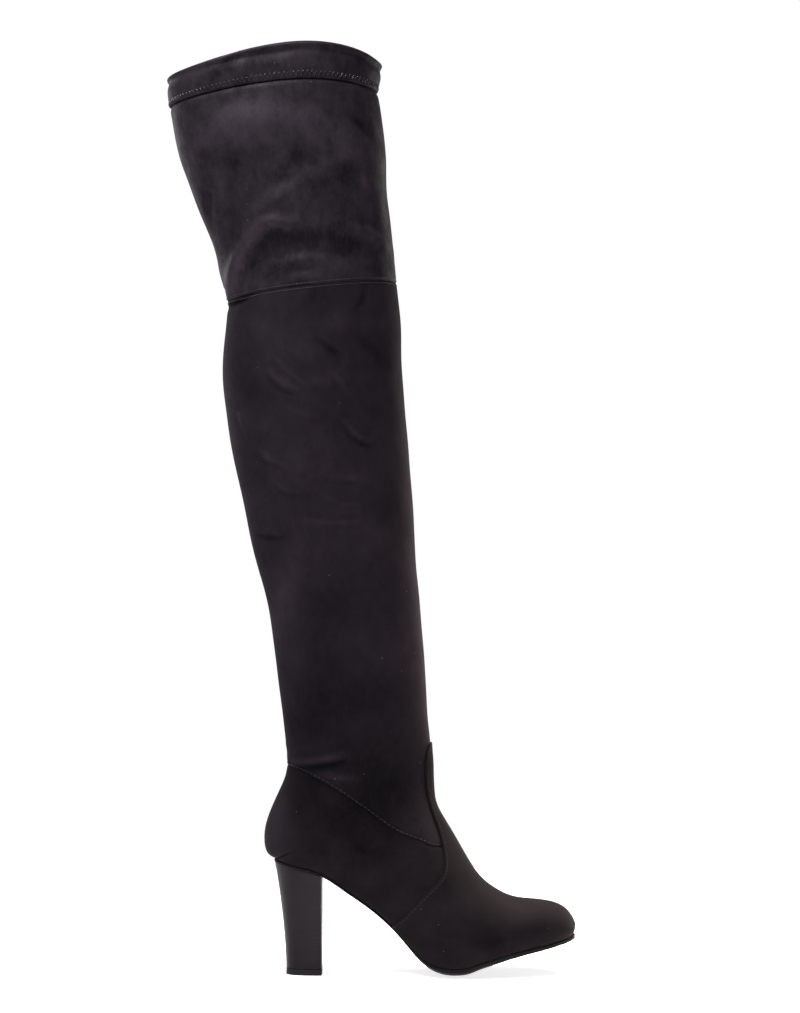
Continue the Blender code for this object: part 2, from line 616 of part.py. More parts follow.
def heel_section(share):
    """x of the breast, x of the back, half width and roundness of the heel at a share of its height."""
    flare = share**1.85
    base_half = HEEL_BASE_LENGTH / 2
    breast = base_half + (HEEL_BREAST - base_half) * share
    seat_back = float(foot_x(FEATHER_BACK)) - SEAT_MARGIN + HEEL_SEAT_INSET
    back = -base_half + (seat_back + base_half) * flare
    seat_half = float(outline(np.array(breast), -1, SEAT_MARGIN)) - HEEL_SEAT_INSET
    half = HEEL_BASE_WIDTH / 2 + (seat_half - HEEL_BASE_WIDTH / 2) * flare
    return breast, back, half, 2.7 - 0.6 * flare


def heel_block(name, shares, floor, ceiling, finish):
    """A block with a flat breast and a rounded back, lofted from floor height to the ceiling's surface."""
    steps = 9
    angle = np.linspace(0, math.pi / 2, steps + 1)
    loops = []
    for share in shares:
        breast, back, half, power = heel_section(share)
        depth = breast - back
        x = breast - depth * np.sin(angle) ** (2 / power)
        y = half * np.cos(angle) ** (2 / power)
        corner = 0.0012
        x = np.concatenate([[breast], [breast - corner * 0.3], x[1:]])
        y = np.concatenate([[y[0] - corner], [y[0] - corner * 0.3], y[1:]])
        y[-1] = 0
        lift = (share - shares[0]) / (shares[-1] - shares[0])
        z = floor + (ceiling(x) - floor) * lift
        loops.append(np.stack([np.concatenate([x, x[::-1]]), np.concatenate([-y, y[::-1]]),
                               np.concatenate([z, z[::-1]])], axis=-1))
    count = len(loops[0])
    faces = grid_faces(len(loops), count, wrap=True)
    for k in (0, len(loops) - 1):
        for i in range(count // 2 - 1):
            a, b = k * count + i, k * count + count - 1 - i
            faces.append((a, a + 1, b - 1, b))
    return add_object(name, np.concatenate(loops), faces, finish)


def make_heel(heel_finish, piece_finish):
    top_piece_share = TOP_PIECE / SEAT_HEIGHT
    gap_share = (TOP_PIECE + GAP) / SEAT_HEIGHT
    heel_block("top_piece", [0.0, top_piece_share], 0.0, lambda x: TOP_PIECE + 0 * x, piece_finish)
    heel_block("heel", [gap_share, 0.3, 0.5, 0.65, 0.78, 0.88, 0.95, 1.0], TOP_PIECE + GAP,
               lambda x: sole_middle(x) - GAP, heel_finish)


def main():
    clear_scene()
    material("cutter", (0.8, 0.2, 0.2), 0.5)
    suede = material("black_suede", (0.011, 0.010, 0.012), 0.92)
    stretch = material("black_stretch_suede", (0.014, 0.013, 0.016), 0.85)
    make_upper(suede)
    make_shaft(stretch)
    make_vamp(suede)
    make_thigh_panel(stretch)
    make_top_band(stretch)
    make_outsole(material("black_sole", (0.015, 0.015, 0.016), 0.55))
    make_insole(material("black_lining", (0.03, 0.028, 0.03), 0.9))
    make_heel(material("black_stacked_heel", (0.03, 0.03, 0.034), 0.4),
              material("black_top_piece", (0.02, 0.02, 0.022), 0.6))


main()
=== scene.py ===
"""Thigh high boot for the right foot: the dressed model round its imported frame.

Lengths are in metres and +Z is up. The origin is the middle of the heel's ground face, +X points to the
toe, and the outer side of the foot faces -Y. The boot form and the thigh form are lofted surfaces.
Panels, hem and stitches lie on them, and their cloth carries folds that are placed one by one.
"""

import math

import bmesh
import bpy
import numpy as np
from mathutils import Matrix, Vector


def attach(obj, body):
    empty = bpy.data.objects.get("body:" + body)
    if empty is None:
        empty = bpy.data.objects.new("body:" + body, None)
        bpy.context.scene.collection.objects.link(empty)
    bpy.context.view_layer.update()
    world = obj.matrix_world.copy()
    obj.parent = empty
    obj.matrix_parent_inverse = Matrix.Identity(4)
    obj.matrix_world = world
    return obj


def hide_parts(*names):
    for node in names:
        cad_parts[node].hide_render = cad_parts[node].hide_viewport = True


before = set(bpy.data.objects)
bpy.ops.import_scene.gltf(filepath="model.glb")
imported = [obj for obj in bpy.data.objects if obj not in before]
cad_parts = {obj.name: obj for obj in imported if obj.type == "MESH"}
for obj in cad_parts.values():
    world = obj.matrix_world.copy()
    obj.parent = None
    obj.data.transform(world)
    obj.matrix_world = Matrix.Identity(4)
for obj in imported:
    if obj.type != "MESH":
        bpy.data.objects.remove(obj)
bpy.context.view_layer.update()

# Foot and last
FOOT_LENGTH = 0.228        # back of the counter to the toe, measured level
HEEL_SET = 0.0293          # back of the counter to the middle of the heel's ground face
BALL_WIDTH = 0.080         # upper at the ball of the foot
SEAT_HEIGHT = 0.081        # underside of the sole at the back of the heel seat
TOE_SPRING = 0.0250        # underside of the sole at the toe tip
LAST_HEIGHT = 0.080        # tallest chord of a foot section, sole to ridge
TOE_SWING = 0.005          # how far the toe turns to the inner side
TOE_ROUND = 0.040          # length over which the outline rounds off at the toe
SEAT_ROUND = 0.024         # radius of the outline at the back of the heel seat

# Leg
LEG_HEIGHT = 0.584         # heel seat to the top hem at the back
LEG_DEPTH = 0.131          # calf, front to back
LEG_WIDTH = 0.104          # calf, side to side

# Sole, insole and heel
SOLE_CROWN = 0.0052        # how far the edge of the forefoot lies above its middle
FORE_SOLE = 0.0030
WAIST_SOLE = 0.0020
SOLE_MARGIN = 0.0030       # sole past the feather edge at the forefoot
SEAT_MARGIN = 0.0010       # sole past the feather edge from waist to heel seat
INSOLE = 0.0030
HEEL_BASE_LENGTH = 0.0264
HEEL_BASE_WIDTH = 0.033
HEEL_SEAT_INSET = 0.0004   # heel block inside the edge of the sole
HEEL_BREAST = 0.0128       # breast at the seat, ahead of the middle of the ground face
TOP_PIECE = 0.0045

# Walls and gaps
UPPER_WALL = 0.0020
SHAFT_WALL = 0.0014
BAND_WALL = 0.0030
VAMP_LEATHER = 0.0011
GAP = 0.0003

# Columns: x from the back of the counter as a share of FOOT_LENGTH; the height of the sole's underside
# along its middle line, as a share of SEAT_HEIGHT plus a share of TOE_SPRING; the crown as a share of
# SOLE_CROWN.
SOLE_LINE = [
    ("seat back", 0.0300, 1.010, 0.00, 0.00),
    ("seat", 0.1150, 0.948, 0.00, 0.00),
    ("breast", 0.1900, 0.884, 0.00, 0.05),
    ("shank", 0.2645, 0.742, 0.00, 0.10),
    ("shank", 0.3170, 0.634, 0.00, 0.18),
    ("arch", 0.3610, 0.534, 0.00, 0.25),
    ("arch", 0.3980, 0.437, 0.00, 0.33),
    ("arch", 0.4355, 0.324, 0.00, 0.45),
    ("tread start", 0.4880, 0.147, 0.00, 0.65),
    ("tread start", 0.5230, 0.058, 0.00, 0.80),
    ("tread start", 0.5540, 0.012, 0.00, 0.90),
    ("ball", 0.5850, 0.000, -0.034, 0.98),
    ("ball", 0.6200, 0.000, -0.045, 1.00),
    ("ball", 0.6550, 0.000, 0.000, 1.00),
    ("fore", 0.6900, 0.000, 0.125, 0.98),
    ("fore", 0.7280, 0.000, 0.235, 0.95),
    ("fore", 0.7645, 0.000, 0.348, 0.88),
    ("fore", 0.8145, 0.000, 0.487, 0.74),
    ("toe", 0.8740, 0.000, 0.650, 0.48),
    ("toe", 0.9380, 0.000, 0.825, 0.22),
    ("toe tip", 0.9980, 0.000, 1.000, 0.00),
]

# Columns: x as a share of FOOT_LENGTH; half width of the feather outline to the outer and the inner side,
# as shares of BALL_WIDTH. Both ends are rounded off by a formula.
OUTLINE = [
    ("seat back", 0.030, 0.300, 0.300),
    ("seat", 0.120, 0.303, 0.303),
    ("breast", 0.200, 0.305, 0.300),
    ("shank", 0.300, 0.268, 0.255),
    ("waist", 0.400, 0.260, 0.238),
    ("tread start", 0.500, 0.325, 0.298),
    ("ball", 0.600, 0.420, 0.410),
    ("ball", 0.680, 0.450, 0.456),
    ("fore", 0.760, 0.441, 0.454),
    ("fore", 0.840, 0.408, 0.420),
    ("toe", 0.920, 0.378, 0.392),
    ("toe tip", 0.985, 0.364, 0.378),
]
FEATHER_BACK = 0.037       # share of FOOT_LENGTH where the feather edge closes round the heel seat
FEATHER_TIP = 0.985        # share of FOOT_LENGTH where it closes at the toe

# Sections of the foot, each a plane across the boot from the feather edge to the ridge. Columns: feather
# and ridge x as shares of FOOT_LENGTH; rise of the ridge over the feather as a share of LAST_HEIGHT;
# widest half width, outer and inner, as shares of BALL_WIDTH; where on the chord it is widest; the
# superellipse powers below and above that.
FOOT_SECTIONS = [
    ("toe tip", 0.985, 0.985, 0.000, 0.000, 0.000, 0.40, 2.10, 2.00),
    ("toe wall", 0.978, 0.992, 0.075, 0.122, 0.126, 0.42, 2.15, 2.02),
    ("toe wall", 0.957, 0.990, 0.140, 0.232, 0.240, 0.42, 2.20, 2.05),
    ("toe cap", 0.927, 0.969, 0.250, 0.322, 0.332, 0.40, 2.25, 2.10),
    ("toe cap", 0.885, 0.927, 0.340, 0.386, 0.398, 0.36, 2.30, 2.15),
    ("toes", 0.830, 0.865, 0.400, 0.438, 0.450, 0.33, 2.30, 2.15),
    ("toes", 0.764, 0.798, 0.470, 0.476, 0.490, 0.30, 2.30, 2.05),
    ("ball", 0.686, 0.737, 0.620, 0.498, 0.502, 0.28, 2.30, 1.90),
    ("ball", 0.598, 0.683, 0.800, 0.484, 0.478, 0.28, 2.25, 1.82),
    ("instep", 0.510, 0.639, 0.910, 0.448, 0.436, 0.30, 2.20, 1.82),
    ("instep", 0.427, 0.604, 0.845, 0.418, 0.406, 0.33, 2.20, 1.90),
    ("waist", 0.343, 0.5755, 0.765, 0.396, 0.388, 0.36, 2.20, 2.00),
    ("shank", 0.260, 0.555, 0.700, 0.382, 0.376, 0.36, 2.20, 2.08),
    ("seat", 0.181, 0.544, 0.650, 0.376, 0.371, 0.33, 2.10, 2.12),
    ("seat", 0.111, 0.5405, 0.685, 0.374, 0.369, 0.30, 1.97, 2.12),
    ("seat", 0.063, 0.539, 0.725, 0.374, 0.369, 0.275, 1.86, 2.12),
    ("seat back", 0.037, 0.538, 0.795, 0.374, 0.370, 0.265, 2.05, 2.12),
]

# Sections of the leg. Columns: back and front x as shares of LEG_DEPTH, from the middle of the ground
# face; height over SEAT_HEIGHT of the back and the front as shares of LEG_HEIGHT; widest half width as a
# share of LEG_WIDTH; where it is widest; the powers behind and ahead of that; the arch of the section's
# sides as a share of LEG_HEIGHT.
LEG_SECTIONS = [
    ("counter", -0.208, 0.7120, 0.0125, 0.1216, 0.290, 0.275, 2.20, 2.12, 0.0),
    ("counter", -0.2235, 0.7100, 0.0300, 0.1293, 0.291, 0.29, 2.20, 2.10, 0.0),
    ("counter", -0.2150, 0.7075, 0.0471, 0.1361, 0.293, 0.315, 2.15, 2.10, 0.0),
    ("ankle", -0.1845, 0.7055, 0.0673, 0.1438, 0.297, 0.35, 2.08, 2.08, 0.0),
    ("ankle", -0.1340, 0.7025, 0.0925, 0.1532, 0.302, 0.39, 1.98, 2.06, 0.0),
    ("ankle", -0.1005, 0.6985, 0.1139, 0.1626, 0.306, 0.425, 1.90, 2.04, 0.0),
    ("ankle", -0.1005, 0.6915, 0.1404, 0.1763, 0.310, 0.455, 1.86, 2.02, 0.0),
    ("shin", -0.1190, 0.6840, 0.1772, 0.1977, 0.317, 0.475, 1.86, 2.00, 0.0),
    ("shin", -0.1490, 0.6725, 0.2312, 0.2466, 0.332, 0.50, 1.88, 1.98, 0.0),
    ("shin", -0.2000, 0.6460, 0.3099, 0.3202, 0.366, 0.49, 1.92, 1.97, 0.0),
    ("calf", -0.2750, 0.6220, 0.3784, 0.3870, 0.400, 0.48, 1.96, 1.97, 0.0),
    ("calf", -0.3625, 0.5990, 0.4675, 0.4777, 0.443, 0.47, 2.00, 1.98, 0.0),
    ("calf", -0.4335, 0.5650, 0.5497, 0.5599, 0.476, 0.47, 2.00, 2.00, 0.0),
    ("calf", -0.4620, 0.5420, 0.6216, 0.6336, 0.493, 0.48, 2.00, 2.00, 0.0),
    ("knee", -0.4465, 0.5345, 0.6678, 0.6832, 0.498, 0.49, 2.00, 2.02, 0.0),
    ("knee seam", -0.4300, 0.5130, 0.7034, 0.7269, 0.500, 0.50, 2.00, 2.04, 0.0),
]
THIGH_SECTIONS = [
    LEG_SECTIONS[-1],
    ("knee back", -0.5150, 0.4900, 0.7723, 0.7877, 0.505, 0.50, 2.00, 2.05, 0.001),
    ("thigh", -0.6300, 0.4580, 0.8373, 0.8493, 0.510, 0.50, 2.05, 2.05, 0.003),
    ("thigh", -0.7140, 0.4450, 0.9007, 0.9092, 0.514, 0.50, 2.05, 2.05, 0.005),
    ("thigh", -0.7540, 0.4190, 0.9418, 0.9565, 0.515, 0.50, 2.05, 2.05, 0.0090),
    ("hem stitch", -0.7590, 0.4060, 0.9529, 0.9735, 0.512, 0.50, 2.05, 2.05, 0.0110),
    ("hem", -0.7670, 0.4190, 0.9730, 0.9920, 0.519, 0.50, 2.05, 2.05, 0.0160),
    ("hem top", -0.7670, 0.4230, 0.9854, 1.0060, 0.519, 0.50, 2.05, 2.05, 0.0195),
]
HEM_STITCH = 5             # row of THIGH_SECTIONS where the folded hem starts
HEM_TOP = 7

# Seams as seen from the side. Columns: x as a share of FOOT_LENGTH, height as a share of SEAT_HEIGHT.
COUNTER_SEAM = [
    ("behind the leg", -0.150, 2.100),
    ("back", 0.0700, 1.877),
    ("ankle", 0.1420, 1.810),
    ("ankle", 0.2380, 1.662),
    ("side", 0.3610, 1.415),
    ("side", 0.4360, 1.282),
    ("under the vamp", 0.5150, 1.195),
    ("ridge", 0.6000, 1.185),
    ("ahead of the ridge", 0.8000, 1.500),
]
VAMP_EDGE = [
    ("sole", 0.4080, 0.458),
    ("side", 0.4490, 0.547),
    ("side", 0.4880, 0.663),
    ("side", 0.5460, 0.823),
    ("side", 0.5750, 0.965),
    ("side", 0.5690, 1.170),
    ("instep", 0.5460, 1.374),
    ("instep", 0.5230, 1.575),
    ("tab", 0.5140, 1.781),
    ("tab", 0.5160, 1.960),
    ("tab top", 0.5230, 2.040),
    ("tab top", 0.5340, 2.080),
    ("ahead of the tab", 0.5800, 2.110),
]
LOW_SHARE = 5 / 12         # share of a half section's turn that lies below its widest point
EPSILON = 1e-3             # step, in section numbers and in turns, for the surface's slopes
TIP_NORMAL = np.array([1.0, 0.0, -0.5])     # where the sections close in one point at the toe
MERGE = 1e-6               # points closer together than this are one
HOLLOW_START = 1.5         # section number where the hollow of the toe starts


def natural_spline(knots, values, at):
    """The cubic curve through the rows of values at the knots, with no bend at either end."""
    knots, at = np.asarray(knots, float), np.asarray(at, float)
    values = np.asarray(values, float).reshape(len(knots), -1)
    step = np.diff(knots)
    slope = np.diff(values, axis=0) / step[:, None]
    system, right = np.eye(len(knots)), np.zeros_like(values)
    for i in range(1, len(knots) - 1):
        system[i, i - 1:i + 2] = step[i - 1], 2 * (step[i - 1] + step[i]), step[i]
        right[i] = 6 * (slope[i] - slope[i - 1])
    bend = np.linalg.solve(system, right)
    i = np.clip(np.searchsorted(knots, at, side="right") - 1, 0, len(knots) - 2)
    width = step[i][..., None]
    a = (knots[i + 1] - at)[..., None] / width
    b = 1 - a
    curve = a * values[i] + b * values[i + 1]
    return curve + ((a**3 - a) * bend[i] + (b**3 - b) * bend[i + 1]) * width**2 / 6


def column(table, index):
    return np.array([row[index] for row in table], float)


def foot_x(share):
    return np.asarray(share) * FOOT_LENGTH - HEEL_SET


def foot_share(x):
    return (np.asarray(x) + HEEL_SET) / FOOT_LENGTH


def smooth_step(value):
    t = np.clip(value, 0, 1)
    return t * t * (3 - 2 * t)


def fore_share(x):
    """0 from the heel seat to the waist and 1 from the ball forward."""
    return smooth_step((foot_share(x) - 0.42) / 0.16)


def swing(x):
    """How far the middle line of the foot lies to the inner side."""
    return TOE_SWING * smooth_step((foot_share(x) - 0.55) / 0.45)


def sole_middle(x):
    """Height of the sole's underside on its middle line, before the flat spot is worn in."""
    rows = SEAT_HEIGHT * column(SOLE_LINE, 2) + TOE_SPRING * column(SOLE_LINE, 3)
    return natural_spline(column(SOLE_LINE, 1), rows, foot_share(x))[..., 0]


def sole_crown(x):
    return SOLE_CROWN * np.interp(foot_share(x), column(SOLE_LINE, 1), column(SOLE_LINE, 4))


def sole_thickness(x):
    return WAIST_SOLE + (FORE_SOLE - WAIST_SOLE) * fore_share(x)


def outline(x, side, grow=0.0):
    """Half width of the foot's outline at x, to the outer (side -1) or the inner (+1) side, grown by grow."""
    shares = natural_spline(column(OUTLINE, 1), column(OUTLINE, 2 if side < 0 else 3), foot_share(x))[..., 0]
    to_tip = np.clip((foot_x(FEATHER_TIP) + grow - x) / TOE_ROUND, 0, 1)
    to_back = np.clip((x - foot_x(FEATHER_BACK) + grow) / SEAT_ROUND, 0, 1)
    round_off = np.sqrt(1 - (1 - to_tip) ** 2) * np.sqrt(1 - (1 - to_back) ** 2)
    return (shares * BALL_WIDTH + grow) * round_off


def crowned(x, y):
    """Height of the sole's underside at x and y: its middle line, raised towards both edges."""
    off_middle = y - swing(x)
    half = np.maximum(np.where(off_middle < 0, outline(x, -1), outline(x, 1)), MERGE)
    return sole_middle(x) + sole_crown(x) * np.minimum(np.abs(off_middle) / half, 1) ** 2


def sole_top(x, y):
    return crowned(x, y) + sole_thickness(x)


def feather_height(x):
    return sole_middle(x) + sole_crown(x) + sole_thickness(x) + GAP


def foot_rows():
    """Each foot section as base x, base z, ridge x, ridge z, widths, shape, ridge y and arch, in metres."""
    rows = []
    for _, base, ridge, rise, outer, inner, widest, low, high in FOOT_SECTIONS:
        x = float(foot_x(base))
        z = float(feather_height(x))
        ridge_x = float(foot_x(ridge))
        rows.append((x, z, ridge_x, z + rise * LAST_HEIGHT, outer * BALL_WIDTH, inner * BALL_WIDTH,
                     widest, low, high, float(swing(ridge_x)), 0.0))
    return rows


def leg_rows(sections):
    rows = []
    for _, back, front, back_z, front_z, half, widest, low, high, arch in sections:
        rows.append((back * LEG_DEPTH, SEAT_HEIGHT + back_z * LEG_HEIGHT,
                     front * LEG_DEPTH, SEAT_HEIGHT + front_z * LEG_HEIGHT,
                     half * LEG_WIDTH, half * LEG_WIDTH, widest, low, high, 0.0, arch * LEG_HEIGHT))
    return rows


class Form:
    """A surface lofted through sections.

    A section lies in the plane through its base (the feather edge, or the back of the leg), its ridge
    (the top of the foot, or the front of the leg) and the Y direction. Its half width grows from the
    feather's by one quarter of a superellipse to the widest point, and falls to the ridge by another. s
    counts the sections, and turn goes from -1, the base on the outer side, over 0, the ridge, to 1, the
    base on the inner side.
    """

    def __init__(self, rows, feather_end):
        self.rows = np.array(rows)
        self.knots = np.arange(len(rows), dtype=float)
        self.feather_end = feather_end

    def point(self, s, turn):
        s, turn = np.broadcast_arrays(np.asarray(s, float), np.asarray(turn, float))
        values = natural_spline(self.knots, self.rows, s)
        x0, z0, x1, z1, outer, inner, widest, low, high, ridge_y, arch = np.moveaxis(values, -1, 0)
        side = np.where(turn < 0, -1.0, 1.0)
        feather = np.where(side < 0, outline(x0, -1), outline(x0, 1)) * (s < self.feather_end)
        widest_half = np.where(side < 0, outer, inner)
        around = 1 - np.abs(turn)
        low_angle = np.clip(around / LOW_SHARE, 0, 1) * math.pi / 2
        high_angle = np.clip((around - LOW_SHARE) / (1 - LOW_SHARE), 0, 1) * math.pi / 2
        below = around < LOW_SHARE
        sine = np.where(below, np.sin(low_angle), np.sin(high_angle))
        cosine = np.maximum(np.where(below, np.cos(low_angle), np.cos(high_angle)), 0)
        power = 2 / np.where(below, low, high)
        along = np.where(below, widest * (1 - cosine**power), widest + (1 - widest) * sine**power)
        half = np.where(below, feather + (widest_half - feather) * sine**power, widest_half * cosine**power)
        middle = swing(x0) * (s < self.feather_end)
        y = middle + along * (ridge_y - middle) + side * half
        z = z0 + along * (z1 - z0) + arch * 4 * along * (1 - along) * (0.3 + 1.2 * along)
        return np.stack([x0 + along * (x1 - x0), y, z], axis=-1)

    def normal(self, s, turn):
        """Outward unit normal, from the surface's slopes along s and turn."""
        s, turn = np.broadcast_arrays(np.asarray(s, float), np.asarray(turn, float))
        at_tip = (s == 0) & (self.feather_end > 0)
        turn = np.where((turn < 0) & (s >= self.feather_end) & (np.abs(turn) == 1), 1.0, turn)
        s0, s1 = np.maximum(s - EPSILON, 0), np.minimum(s + EPSILON, self.knots[-1])
        t0, t1 = np.maximum(turn - EPSILON, -1), np.minimum(turn + EPSILON, 1)
        along = self.point(s1, turn) - self.point(s0, turn)
        across = self.point(s, t1) - self.point(s, t0)
        normal = np.cross(across, along)
        closed_back = (np.abs(turn) == 1) & (s >= self.feather_end)
        normal[..., 1] = np.where(closed_back, 0, normal[..., 1])
        normal = np.where(at_tip[..., None], TIP_NORMAL, normal)
        return normal / np.linalg.norm(normal, axis=-1, keepdims=True)

    def offset(self, s, turn, distance):
        return self.point(s, turn) + self.normal(s, turn) * distance


BOOT = Form(foot_rows() + leg_rows(LEG_SECTIONS), feather_end=len(FOOT_SECTIONS) - 1)
THIGH = Form(leg_rows(THIGH_SECTIONS), feather_end=-1)
KNEE = len(FOOT_SECTIONS) + len(LEG_SECTIONS) - 1
BACK_CORNER = 0.85         # turn where the counter seam, running back, levels out round the leg
SECTION_STEPS = 700        # samples along a line of the form in a search for a seam
RIDGE_SEARCH = (6, 16)     # sections between which the counter seam meets the ridge
LEG_SEARCH = (18, 26)      # sections between which the counter seam runs round the leg
SIDE_SEARCH = (5, 16)      # sections between which the vamp's edge crosses the side of the foot
TAB_SEARCH = (14, 26)      # sections between which the top of the tab lies
VAMP_START = 0.22          # from this turn out to the feather edge the vamp's edge is searched for
TAB_WIDEST = 0.7           # turn that the tab's edge doesn't pass

# Folds of the cloth on the outer side, as soft ridges (+) and troughs (-). Columns: start, middle and end
# in side view, x and z in millimetres; width and height across, in millimetres.
FOLDS = [
    ("band dimple", -58, 657, -55, 661, -51, 664, 3.6, -1.8),
    ("band swell", -70, 652, -66, 656, -62, 660, 3.6, 1.1),
    ("band swell", -8, 666, 3, 668, 14, 669, 5.0, 0.6),
    ("band dimple", -34, 662, -24, 665, -14, 667, 4.5, -1.0),
    ("swell under the hem", -84, 600, -42, 612, 6, 617, 17.0, 3.4),
    ("front swell under the hem", 20, 606, 42, 598, 60, 590, 15.0, 2.2),
    ("front top crease", 34, 623, 41, 616, 48, 608, 3.5, -1.6),
    ("front top swell", 38, 628, 47, 621, 53, 611, 4.5, 1.2),
    ("oval dent", 28, 587, 31, 579, 34, 571, 6.5, -0.9),
    ("front ridge", 45, 579, 51, 567, 56, 552, 5.0, 1.8),
    ("satin ridge", 26, 587, 1, 575, -24, 551, 8.0, 2.2),
    ("dent", -55, 598, -52, 586, -51, 572, 9.0, -0.9),
    ("dent", -9, 596, 0, 593, 9, 589, 7.0, -0.7),
    ("dent", -15, 576, -5, 574, 3, 569, 6.0, -0.8),
    ("back crease", -68, 575, -69, 556, -66, 538, 4.0, -1.0),
    ("back ridge", -60, 580, -61, 560, -57, 538, 4.5, 0.6),
    ("knee ridge, foot", -54, 494, -50, 515, -39, 532, 5.5, 3.6),
    ("knee ridge, head", -39, 532, -29, 542, -8, 542, 5.5, 3.6),
    ("knee trough", -39, 514, -22, 528, 2, 530, 8.0, -2.0),
    ("knee trough, front", 4, 529, 26, 529, 55, 523, 10.0, -2.0),
    ("front ridge over the knee", 34, 541, 48, 537, 62, 527, 4.5, 2.2),
    ("swell over the seam", -24, 511, -12, 514, 3, 515, 5.0, 1.5),
    ("swell over the seam", 8, 517, 20, 515, 36, 513, 4.5, 1.6),
    ("dent over the seam", -8, 509, 0, 510, 8, 511, 4.0, -1.6),
    ("dent over the seam", 11, 513, 18, 513, 25, 514, 4.0, -1.4),
    ("tuck behind the knee", -60, 487, -47, 489, -35, 494, 2.5, -2.0),
    ("pucker", 45, 499, 44, 490, 39, 482, 2.5, -1.2),
    ("pucker", 4, 500, 9, 493, 6, 484, 3.0, -0.8),
    ("calf dent", 12, 459, 19, 453, 27, 448, 2.4, -1.1),
    ("calf dent, edge", 14, 462, 22, 456, 29, 452, 1.8, 0.9),
    ("calf dent", 40, 462, 52, 452, 58, 440, 5.0, -1.0),
    ("calf crease", -23, 437, -16, 429, -5, 423, 1.6, 2.0),
    ("calf crease, under", -26, 433, -19, 425.5, -8, 419.5, 1.5, -1.4),
    ("calf crease, upper", -19, 446, -7, 434, 6, 425, 1.6, 1.3),
    ("long crease, back", -46, 407, -40, 392, -25, 376, 1.7, 1.7),
    ("long crease, back, under", -48, 402, -42, 387, -28, 371, 1.8, -1.1),
    ("long ridge", -27, 375, 2, 365, 38, 360, 1.5, 2.2),
    ("long ridge, under", -27, 371, 2, 361, 38, 356, 1.7, -1.0),
    ("calf dent, low", -22, 352, -8, 348, 6, 347, 3.0, -0.6),
    ("front crease", 31, 402, 39, 392, 50, 387, 1.6, 1.4),
    ("front crease, under", 29, 398, 37, 388, 49, 383, 1.8, -1.1),
    ("low crease", 16, 347, 28, 342, 41, 341, 1.6, 1.0),
    ("low crease", 2, 330, 22, 328, 41, 329, 1.4, 1.0),
    ("low crease, over", 4, 333, 24, 331, 40, 332, 1.5, -0.9),
    ("low back crease", -34, 320, -24, 317, -12, 318, 1.6, -1.0),
    ("calf ridge", -20, 459, -10, 452, -2, 449, 1.8, 0.7),
    ("calf ridge", 20, 437, 28, 430, 33, 421, 1.8, 0.7),
    ("calf ridge", -12, 411, 0, 406, 12, 404, 1.8, 0.6),
    ("low ridge", -20, 358, -12, 352, -2, 350, 1.6, 0.8),
    ("back seam", -26, 277, -15, 243, -3, 200, 1.8, -0.8),
    ("ankle ridge", -5, 156, 12, 157, 29, 161, 2.2, 1.8),
    ("ankle trough", -4, 151, 13, 151.5, 29, 156.5, 2.4, -1.6),
    ("ankle ridge, low", 12, 148, 25, 145, 39, 144, 2.6, 1.2),
]
